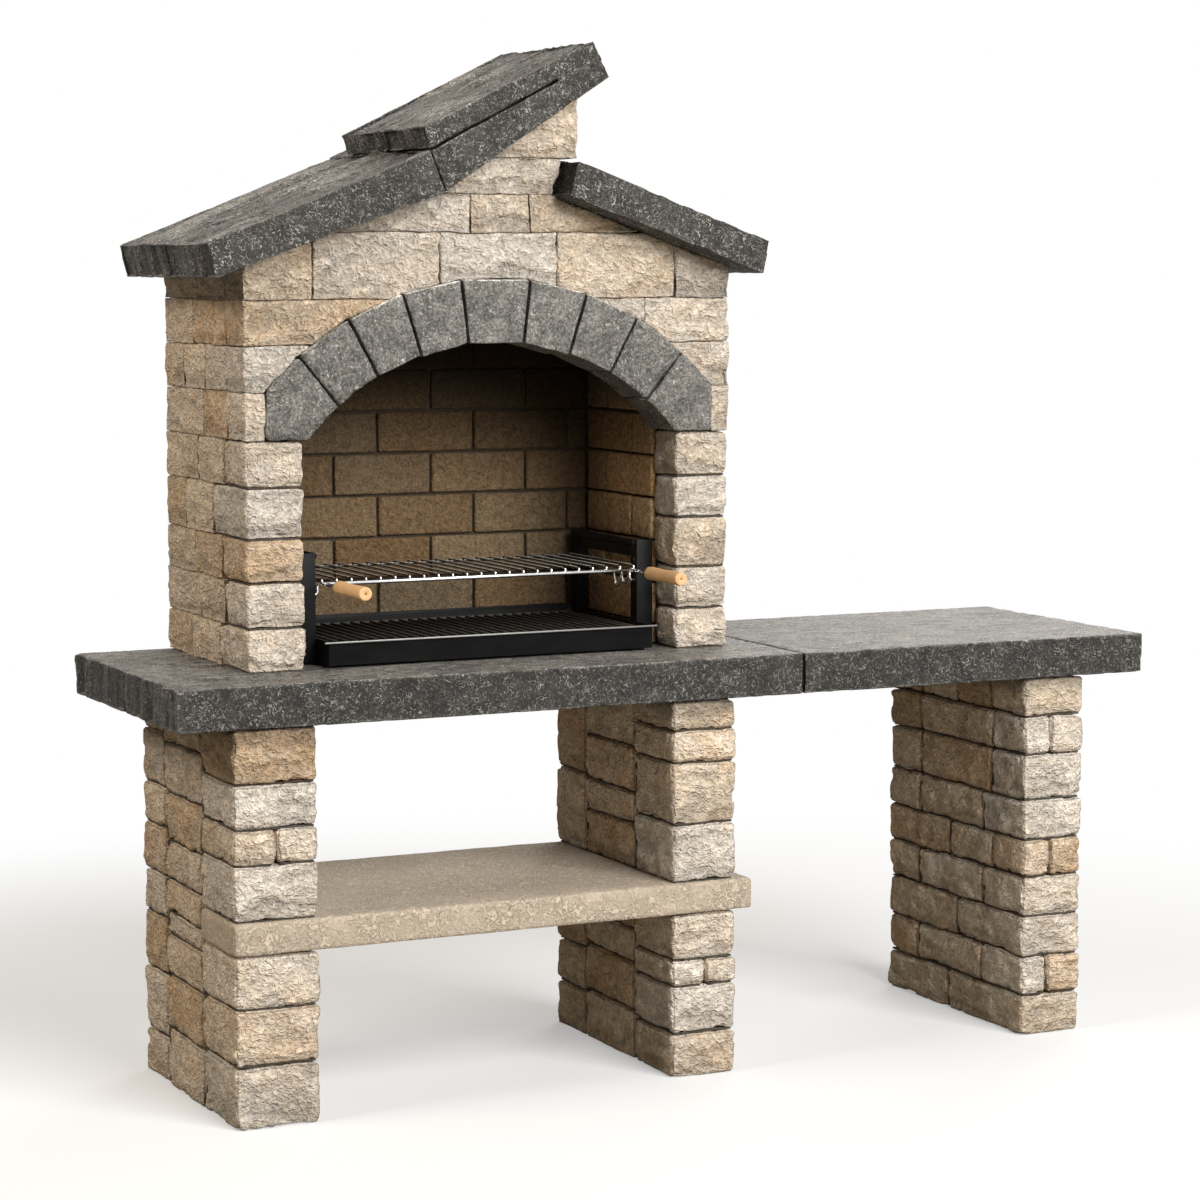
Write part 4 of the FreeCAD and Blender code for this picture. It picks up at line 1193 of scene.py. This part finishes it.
def cap_tail(corners):
    """Slate that closes the joint under the upper end of a cap slab, in the slab's own axes."""
    start = corners.min(axis=0) + CAP_INSET
    end = corners.max(axis=0) - CAP_INSET
    start[0] = end[0] - CAP_TAIL
    start[2] = corners[:, 2].min() - CAP_INSET * 4
    end[2] = corners[:, 2].min() + CAP_INSET * 4
    return bedding(start, end, CAP_INSET)


def dress_slab(node):
    """Sculpts a slate slab: cleft layers on its faces, ribbed ends, broken edges and chipped arrises."""
    slate = chosen("slate")
    # The roof slabs are painted lighter, as painted light
    layer_depth, radius, seam, shade = slate.cleft_depth, slate.roof_round, slate.roof_seam, ROOF_PAINTED_LIGHT
    if node in WORKTOP_NODES:
        layer_depth, radius, seam, shade = slate.worktop_depth, slate.worktop_round, slate.seam, 1.0
    carving = Carving()
    for number, (corners, triangles) in enumerate(shells_of(node)):
        seed = seed_of(node.replace("front", "").replace("rear", ""), number)
        axes = slab_axes(corners, triangles)
        points, quads, normals, near = blank_of(corners, triangles, slate.mesh_step, radius, axes)
        local = points @ axes
        facing = normals @ axes[:, 2]
        face = eased_step(0.6, 0.9, np.abs(facing))
        layers = fractal(local / LAYER_SIZE, seed, 3)
        cleft = terraced(layers, 2.6, 6.0) + faceted(local / LAYER_FACET, seed + 1) * 0.2
        stripes = fractal(local / STRIPE_SIZE, seed + 2, 2) * 0.6
        stripes += faceted(local / EDGE_FACET, seed + 3) * 0.7
        chips = eased_step(0.12, 0.6, fractal(local / SLAB_CHIP, seed + 4, 2)) * near
        lying = layer_depth * np.where(facing > 0, 1.0, 0.25)
        end = eased_step(0.6, 0.9, np.abs(normals @ axes[:, 0]))
        ribs = terraced(fractal(local / RIB_SIZE, seed + 5, 2), 2.5, 6.0)
        height = face * (cleft - 0.4) * lying + (1 - face) * (stripes - 0.3) * slate.edge_depth
        height += end * (ribs - 0.3) * slate.rib_depth
        height = height * (1 - 0.5 * near) - chips * slate.chip_depth
        if node in WORKTOP_NODES:
            # The fire insert slides over the worktop, so no layer reaches its face
            height = np.where(facing > 0.9, np.minimum(height, -INSERT_CLEARANCE), height)
        drawn = (np.abs(normals @ axes[:, :2]) * (slate.seam, seam)).max(axis=1) / 2
        if node in CAP_NODES:
            drawn += eased_step(-0.3, -0.6, facing) * seam
            tail, tail_quads = cap_tail(corners @ axes)
            carving.add(tail @ axes.T, tail_quads, near=0.0, height=0.0, shade=shade)
        carving.add(raised(points, normals, height - drawn), quads, near=near,
                    height=height / slate.edge_depth / 2, shade=shade)
        if node in SEAM_AXES:
            filling, quads = seam_filling(corners @ axes, SEAM_AXES[node])
            carving.add(filling @ axes.T, quads, near=0.0, height=-1.0, shade=BED_SHADE)
    return carving.piece("dressed_" + node, SLAB_KEEP)


def dress_arch_stone(node):
    """Sculpts a stone of the arch, drawn in from its neighbours along the arch."""
    slate = chosen("slate")
    low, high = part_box("arch_keystone")
    centre_x = (low.x + high.x) / 2
    carving = Carving()
    for number, (corners, triangles) in enumerate(shells_of(node)):
        seed = seed_of(node, number)
        middle = corners.mean(axis=0)
        lean = math.atan2(middle[0] - centre_x, middle[2] - ARCH_CENTRE_Z)
        tangent = np.array((math.cos(lean), 0.0, -math.sin(lean)))
        axes = np.stack((tangent, (0.0, 1.0, 0.0), (math.sin(lean), 0.0, math.cos(lean))), axis=1)
        points, quads, normals, near = blank_of(corners, triangles, slate.mesh_step, slate.arch_round, axes)
        relief = fractal(points / ARCH_PATCH, seed, 2) * 0.6 + faceted(points / ARCH_FACET, seed + 1) * 0.4
        chips = eased_step(0.2, 0.6, fractal(points / ARCH_FACET, seed + 2, 2)) * near
        height = (relief - 0.3) * slate.edge_depth * (1 - 0.5 * near) - chips * slate.chip_depth * 0.6
        drawn = np.abs(normals @ tangent) * slate.arch_gap / 2
        carving.add(raised(points, normals, height - drawn), quads, near=near,
                    height=height / slate.edge_depth / 2, shade=1.0)
    return carving.piece("dressed_" + node, ARCH_KEEP)


def dress_shelf(node):
    """Sculpts the sawn shelf, whose faces are slightly wavy."""
    shelf = chosen("shelf")
    carving = Carving()
    for corners, triangles in shells_of(node):
        points, quads, normals, near = blank_of(corners, triangles, shelf.mesh_step, shelf.arris_round)
        height = fractal(points / SAW_WAVE, 11, 3) * shelf.relief - near * shelf.relief
        carving.add(raised(points, normals, height), quads)
    return carving.piece("dressed_" + node, SHELF_KEEP)


def dress_bricks(node):
    """Sculpts the sandy bricks of one wall of the lining."""
    hearth = chosen("hearth")
    carving = Carving()
    for number, (corners, triangles) in enumerate(shells_of(node)):
        seed = seed_of(node, number)
        points, quads, normals, _ = blank_of(corners, triangles, hearth.mesh_step, hearth.arris_round)
        height = fractal(points / SAND_SIZE, seed, 2) + fractal(points / BRICK_WAVE, seed, 2)
        height = height * hearth.sand_depth + hearth.brick_swell
        # The right lining's bricks are painted four times lighter, as painted light
        shade = (0.8 + 0.35 * chance(seed + 1)) * (RIGHT_LINING_PAINTED_LIGHT if "right" in node else 1.0)
        carving.add(raised(points, normals, height), quads, warmth=chance(seed), shade=shade,
                    stone_seed=chance(seed + 2))
    return carving.piece("dressed_" + node, BRICK_KEEP)


def mortar_bed(node, low, high):
    """Bed whose face towards the hearth stands up between the bricks and is trowelled uneven."""
    ends = np.array((low, high))
    axis = 1 if "back" in node else 0
    across = 1 - axis
    front = 1 if "left" in node else 0
    ends[front, axis] += MORTAR_PROUD if front else -MORTAR_PROUD
    columns, rows = (max(2, int((ends[1, each] - ends[0, each]) / MORTAR_STEP)) for each in (across, 2))
    sheets = np.empty((2, rows + 1, columns + 1, 3))
    sheets[..., axis] = ends[:, axis].reshape(2, 1, 1)
    sheets[..., across] = np.linspace(*ends[:, across], columns + 1)
    sheets[..., 2] = np.linspace(*ends[:, 2], rows + 1).reshape(-1, 1)
    trowelled = fractal(sheets[front].reshape(-1, 3) / TROWEL_LENGTH, 23, 2) * TROWEL_DEPTH
    sheets[front, ..., axis] += trowelled.reshape(rows + 1, columns + 1)
    numbers = np.arange(sheets.size // 3).reshape(sheets.shape[:3])
    rear = numbers[0]
    rim = np.concatenate((rear[0, :-1], rear[:-1, -1], rear[-1, :0:-1], rear[:0:-1, 0]))
    after = np.roll(rim, -1)
    sides = np.stack((rim, after, after + rear.size, rim + rear.size), axis=1)
    quads = np.concatenate((sheet_quads(rear), sheet_quads(numbers[1])[:, ::-1], sides))
    return sheets.reshape(-1, 3), quads if axis == 0 else quads[:, ::-1]


def dress_beds(node):
    """Builds the mortar beds of one wall of the lining."""
    carving = Carving()
    for corners, _ in shells_of(node):
        carving.add(*mortar_bed(node, corners.min(axis=0), corners.max(axis=0)))
    return carving.piece("dressed_" + node)


def lay(nodes, dress, finish, slot=None):
    """Dresses each node of a part of the masonry and lays it in place."""
    for node in nodes:
        place(dress(node), "masonry", finish, node, slot)
    return {"FINISHED"}


# Steps of the build

class BARBECUE_OT_lay_piers(bpy.types.Operator):
    """Lay the split stones of the three piers"""

    bl_idname = "barbecue.lay_piers"
    bl_label = "Lay Piers"

    def execute(self, context):
        return lay(PIER_NODES, dress_stones, "split_stone")


class BARBECUE_OT_lay_hood(bpy.types.Operator):
    """Lay the jambs, walls and gables of the hood"""

    bl_idname = "barbecue.lay_hood"
    bl_label = "Lay Hood"

    def execute(self, context):
        return lay(WALL_NODES, dress_stones, "split_stone")


class BARBECUE_OT_set_shelf(bpy.types.Operator):
    """Set the sawn log shelf"""

    bl_idname = "barbecue.set_shelf"
    bl_label = "Set Log Shelf"

    def execute(self, context):
        return lay(("log_shelf",), dress_shelf, "shelf_stone")


class BARBECUE_OT_lay_worktops(bpy.types.Operator):
    """Lay the slate worktops"""

    bl_idname = "barbecue.lay_worktops"
    bl_label = "Lay Worktops"

    def execute(self, context):
        return lay(WORKTOP_NODES, dress_slab, "slab_slate", "slate")


class BARBECUE_OT_turn_arch(bpy.types.Operator):
    """Set the stones of the arch"""

    bl_idname = "barbecue.turn_arch"
    bl_label = "Set Arch"

    def execute(self, context):
        return lay(ARCH_NODES, dress_arch_stone, "arch_slate", "slate")


class BARBECUE_OT_lay_roof(bpy.types.Operator):
    """Lay the cleft slabs of the roof"""

    bl_idname = "barbecue.lay_roof"
    bl_label = "Lay Roof"

    def execute(self, context):
        return lay(ROOF_NODES, dress_slab, "slab_slate", "slate")


class BARBECUE_OT_line_hearth(bpy.types.Operator):
    """Line the hearth with firebricks on their mortar beds"""

    bl_idname = "barbecue.line_hearth"
    bl_label = "Line Hearth"

    def execute(self, context):
        lay(BRICK_NODES, dress_bricks, "firebrick")
        return lay(BED_NODES, dress_beds, "mortar")


class BARBECUE_OT_fold_insert(bpy.types.Operator):
    """Fold the ember pan and its frame"""

    bl_idname = "barbecue.fold_insert"
    bl_label = "Fold Fire Insert"

    def execute(self, context):
        insert = chosen("insert")
        for node in SHEET_NODES + ("ember_pan",):
            rim = self.rolled_rim(node) if node.endswith("side_plate") else None
            piece = folded_copy(node, "folded_" + node, insert.edge_round, rim)
            place(piece, "fire_insert", "black_steel", node)
        heads = Carving()
        for corners, _ in shells_of("frame_rivets"):
            low = corners.min(axis=0)
            high = corners.max(axis=0)
            middle = (low + high) / 2
            side = -1.0 if middle[0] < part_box("cooking_grid")[0].x else 1.0
            base = high[0] if side < 0 else low[0]
            radius = (high[2] - low[2]) / 2
            dome = [(radius * RIVET_DOME * math.sin(angle), radius * math.cos(angle))
                    for angle in (0.0, 0.3, 0.65, 1.0, 1.3, 1.5)]
            heads.add(*turned(dome, (base, middle[1], middle[2]), (side, 0.0, 0.0), 20))
        place(heads.piece("domed_frame_rivets"), "fire_insert", "black_steel", "frame_rivets")
        return {"FINISHED"}

    def rolled_rim(self, node):
        """Rolled upper edge of a side plate, turned towards the fire."""
        low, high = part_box(node)
        x = high.x + RIM_RADIUS / 2 if node.startswith("left") else low.x - RIM_RADIUS / 2
        z = high.z - RIM_RADIUS
        return wire([(x, low.y + RIM_RADIUS, z), (x, high.y - RIM_RADIUS, z)], RIM_RADIUS, 18)


class BARBECUE_OT_weld_grate(bpy.types.Operator):
    """Weld the ember grate"""

    bl_idname = "barbecue.weld_grate"
    bl_label = "Weld Ember Grate"

    def execute(self, context):
        low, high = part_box("ember_grate")
        bar = GRATE_BAR / 2
        rod = GRATE_WIRE / 2
        grate = Carving()
        for y in (low.y + bar, high.y - bar):
            grate.add(*wire([(low.x + bar, y, low.z + bar), (high.x - bar, y, low.z + bar)], bar))
        tie = (high.z - low.z - GRATE_WIRE) / 2
        tie_place = ((low.y + high.y) / 2, low.z + tie)
        grate.add(*wire([(low.x + bar, *tie_place), (high.x - bar, *tie_place)], tie))
        for x in (low.x + bar, high.x - bar):
            grate.add(*wire([(x, low.y + bar, low.z + bar), (x, high.y - bar, low.z + bar)], bar))
        pitch = (high.x - low.x - GRATE_WIRE) / (GRATE_WIRES - 1)
        for number in range(1, GRATE_WIRES - 1):
            x = low.x + rod + pitch * number
            grate.add(*wire([(x, low.y + rod, high.z - rod), (x, high.y - rod, high.z - rod)], rod, 8))
        piece = grate.piece("welded_ember_grate")
        place(piece, "ember_grate", "grate_iron", "ember_grate")
        return {"FINISHED"}


class BARBECUE_OT_weld_grid(bpy.types.Operator):
    """Weld the cooking grid and the wires to its grips"""

    bl_idname = "barbecue.weld_grid"
    bl_label = "Weld Cooking Grid"

    def execute(self, context):
        insert = chosen("insert")
        low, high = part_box("cooking_grid")
        bar = GRID_FRONT_BAR / 2
        rod = GRID_WIRE / 2
        bar_y = low.y + bar
        bar_z = low.z + bar
        top_z = high.z - rod + insert.wire_lift
        grid = Carving()
        grid.add(*wire([(low.x + bar, bar_y, bar_z), (high.x - bar, bar_y, bar_z)], bar, 14))
        rear_y = high.y - GRID_BAR / 2
        rear_bar = (rear_y - GRID_WIRE, top_z - rod - GRID_BAR / 2)
        grid.add(*wire([(low.x + bar, *rear_bar), (high.x - bar, *rear_bar)], GRID_BAR / 2))
        pitch = (high.x - low.x - GRID_WIRE) / (GRID_WIRES - 1)
        for number in range(GRID_WIRES):
            x = low.x + rod + pitch * number
            corners = [(x, bar_y, bar_z + rod), (x, bar_y, top_z),
                       (x, rear_y, top_z), (x, rear_y, bar_z + rod)]
            grid.add(*wire(bent(corners, insert.wire_bend, 4), rod, 8))
        place(grid.piece("welded_cooking_grid"), "cooking_grid", "chromed_wire", "cooking_grid")
        for side in SIDES:
            node = side + "_grip_rods"
            low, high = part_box(node)
            middle = (low.x + high.x) / 2
            rods = Carving()
            for shift in (-ROD_SPACING / 2, ROD_SPACING / 2):
                x = middle + shift
                rods.add(*wire([(x, low.y - ROD_SPACING, bar_z), (x, bar_y, bar_z)], ROD_WIRE / 2))
            place(rods.piece("welded_" + node), "cooking_grid", "chromed_wire", node)
        return {"FINISHED"}


class BARBECUE_OT_bend_carriers(bpy.types.Operator):
    """Bend the wire carriers that hang in the uprights"""

    bl_idname = "barbecue.bend_carriers"
    bl_label = "Bend Carriers"

    def execute(self, context):
        for side in SIDES:
            node = side + "_grid_carrier"
            low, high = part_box(node)
            rod = CARRIER_WIRE / 2
            run_x, tip_x = (high.x - rod, low.x) if side == "left" else (low.x + rod, high.x)
            front, rear = low.y + rod, high.y - rod
            pin_z, run_z = low.z + rod, high.z - rod
            path = [(tip_x, front, pin_z), (run_x, front, pin_z), (run_x, front, run_z),
                    (run_x, rear, run_z), (run_x, rear, pin_z), (tip_x, rear, pin_z)]
            carrier = Carving()
            carrier.add(*wire(bent(path, CARRIER_BEND), rod))
            for start, drop, end in BRACES:
                brace = [(run_x, front + start, run_z), (run_x, front + (start + end) / 2, run_z - drop),
                         (run_x, front + end, run_z - drop), (run_x, front + end + BRACE_RISE, run_z)]
                carrier.add(*wire(bent(brace, BRACE_BEND), BRACE_WIRE / 2, 8))
            piece = carrier.piece("bent_" + node)
            place(piece, "grid_carriers", "chromed_wire", node)
        return {"FINISHED"}


class BARBECUE_OT_turn_grips(bpy.types.Operator):
    """Turn the wooden grips"""

    bl_idname = "barbecue.turn_grips"
    bl_label = "Turn Grips"

    def execute(self, context):
        for side in SIDES:
            node = side + "_wooden_grip"
            low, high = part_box(node)
            radius = (high.z - low.z) / 2
            span = high.y - low.y
            hole = radius * GRIP_HOLE
            lip = radius - GRIP_FRONT_ROUND - GRIP_LIP
            rounding = [math.pi / 2 * step / ROUND_STEPS for step in range(1, ROUND_STEPS + 1)]
            profile = [(GRIP_HOLE_DEPTH, GRIP_CENTRE), (GRIP_HOLE_DEPTH, hole), (GRIP_HOLE_EASE, hole),
                       (0.0, hole * GRIP_HOLE_FLARE), (0.0, lip)]
            profile += [(GRIP_FRONT_ROUND * (1 - math.cos(angle)), lip + GRIP_FRONT_ROUND * math.sin(angle))
                        for angle in rounding]
            for step in range(1, WAIST_STEPS):
                along = step / WAIST_STEPS
                waist = GRIP_WAIST * (1 - math.cos(2 * math.pi * along))
                profile.append((span * along, radius * (1 - waist)))
            profile += [(span - GRIP_REAR_ROUND * (1 - math.sin(angle)),
                         radius - GRIP_REAR_ROUND * (1 - math.cos(angle))) for angle in rounding]
            profile.append((span, GRIP_CENTRE))
            middle = (low + high) / 2
            grip = Carving()
            grip.add(*turned(profile, (middle.x, low.y, middle.z), (0.0, 1.0, 0.0), 32))
            piece = grip.piece("turned_" + node)
            place(piece, "cooking_grid", "handle_wood", node)
        return {"FINISHED"}


class BARBECUE_OT_set_stage(bpy.types.Operator):
    """Set the camera, the soft lamps and the pale floor"""

    bl_idname = "barbecue.set_stage"
    bl_label = "Set Stage"

    def execute(self, context):
        stage = chosen("stage")
        scene = context.scene
        scene.view_settings.view_transform = "Standard"
        camera = bpy.data.objects.new("camera", bpy.data.cameras.new("camera"))
        camera.data.lens = stage.lens
        camera.data.sensor_width = SENSOR_WIDTH
        camera.location = stage.eye
        camera.rotation_euler = (math.pi / 2 - stage.pitch, 0.0, -stage.yaw)
        scene.collection.objects.link(camera)
        scene.camera = camera
        for name, (spot, size, tint) in LAMPS.items():
            self.lamp(name + "_lamp", spot, getattr(stage, name + "_power"), size, tint)
        half = stage.floor_size / 2
        corners = [(-half, -half, 0.0), (half, -half, 0.0), (half, half, 0.0), (-half, half, 0.0)]
        floor = linked("floor", new_mesh("floor", corners, [(0, 1, 2, 3)]))
        floor.data.materials.append(self.floor_finish(stage))
        self.light_world(scene, stage)
        return {"FINISHED"}

    def lamp(self, name, spot, energy, size, tint):
        """Soft square lamp aimed at the middle of the barbecue."""
        lamp = bpy.data.lights.new(name, "AREA")
        lamp.energy = energy
        lamp.size = size
        lamp.color = tint
        holder = bpy.data.objects.new(name, lamp)
        holder.location = spot
        aim = (CAD_BOX[0] + CAD_BOX[1]) / 2 - Vector(spot)
        holder.rotation_euler = aim.to_track_quat("-Z", "Y").to_euler()
        bpy.context.scene.collection.objects.link(holder)

    def seen(self, nodes):
        """One where the camera, a reflection or a clear pane looks, and nothing for light that bounces."""
        ray = nodes.tree.nodes.new("ShaderNodeLightPath")
        views = ("Is Camera Ray", "Is Glossy Ray", "Is Transmission Ray")
        camera, glossy, through = (Field(nodes, ray.outputs[view]) for view in views)
        settings = {"operation": "ADD", "use_clamp": True}
        return nodes.add("ShaderNodeMath", settings, {0: camera + glossy, 1: through})

    def floor_finish(self, stage):
        """Pale floor that takes the shadow near the barbecue and runs out to plain white."""
        finish = Finish("pale_floor", Roughness=0.9, Specular_IOR_Level=0.0)
        seen = self.seen(finish)
        finish.feed("Base Color", finish.mixed(seen, stage.floor_bounce, stage.floor_tint))
        length_of = {"operation": "LENGTH"}
        distance = finish.add("ShaderNodeVectorMath", length_of, {0: finish.where}, output="Value")
        reach = stage.shadow_reach
        plain = distance.between(reach * 0.45, reach, stage.floor_glow, 1.0) * seen
        glow = finish.add("ShaderNodeEmission", {}, {"Color": (1.0, 1.0, 1.0), "Strength": 1.0})
        lit = Field(finish, finish.surface.outputs[0])
        surface = finish.add("ShaderNodeMixShader", {}, {0: plain, 1: lit, 2: glow})
        output = finish.tree.nodes["Material Output"]
        finish.put(output, "Surface", surface)
        return finish.material

    def light_world(self, scene, stage):
        world = bpy.data.worlds.new("white_room")
        world.use_nodes = True
        scene.world = world
        nodes = Nodes(world.node_tree)
        nodes.put(world.node_tree.nodes["Background"], "Color",
                  nodes.mixed(self.seen(nodes), stage.ambient, (1.0, 1.0, 1.0)))


OPERATORS = (BARBECUE_OT_set_stage, BARBECUE_OT_lay_piers, BARBECUE_OT_set_shelf, BARBECUE_OT_lay_worktops,
             BARBECUE_OT_lay_hood, BARBECUE_OT_turn_arch, BARBECUE_OT_lay_roof, BARBECUE_OT_line_hearth,
             BARBECUE_OT_fold_insert, BARBECUE_OT_weld_grate, BARBECUE_OT_bend_carriers,
             BARBECUE_OT_weld_grid, BARBECUE_OT_turn_grips)


class BARBECUE_PT_pieces(bpy.types.Panel):
    """Steps of the barbecue, in the order they are built"""

    bl_idname = "BARBECUE_PT_pieces"
    bl_label = "Masonry Barbecue"
    bl_space_type = "VIEW_3D"
    bl_region_type = "UI"
    bl_category = "Barbecue"

    def draw(self, context):
        for operator in OPERATORS:
            self.layout.operator(operator.bl_idname)
        for name, group in SETTINGS.items():
            box = self.layout.box()
            box.label(text=group.__doc__)
            for setting in group.__annotations__:
                box.prop(getattr(context.scene, name), setting)


CLASSES = tuple(SETTINGS.values()) + OPERATORS + (BARBECUE_PT_pieces,)


def register():
    for each in CLASSES:
        bpy.utils.register_class(each)
    for name, group in SETTINGS.items():
        setattr(bpy.types.Scene, name, PointerProperty(type=group))


def unregister():
    for name in SETTINGS:
        delattr(bpy.types.Scene, name)
    for each in reversed(CLASSES):
        bpy.utils.unregister_class(each)


def main():
    register()
    bpy.ops.barbecue.set_stage()
    bpy.ops.barbecue.lay_piers()
    bpy.ops.barbecue.set_shelf()
    bpy.ops.barbecue.lay_worktops()
    bpy.ops.barbecue.lay_hood()
    bpy.ops.barbecue.turn_arch()
    bpy.ops.barbecue.lay_roof()
    bpy.ops.barbecue.line_hearth()
    bpy.ops.barbecue.fold_insert()
    bpy.ops.barbecue.weld_grate()
    bpy.ops.barbecue.bend_carriers()
    bpy.ops.barbecue.weld_grid()
    bpy.ops.barbecue.turn_grips()


if __name__ == "__main__":
    main()
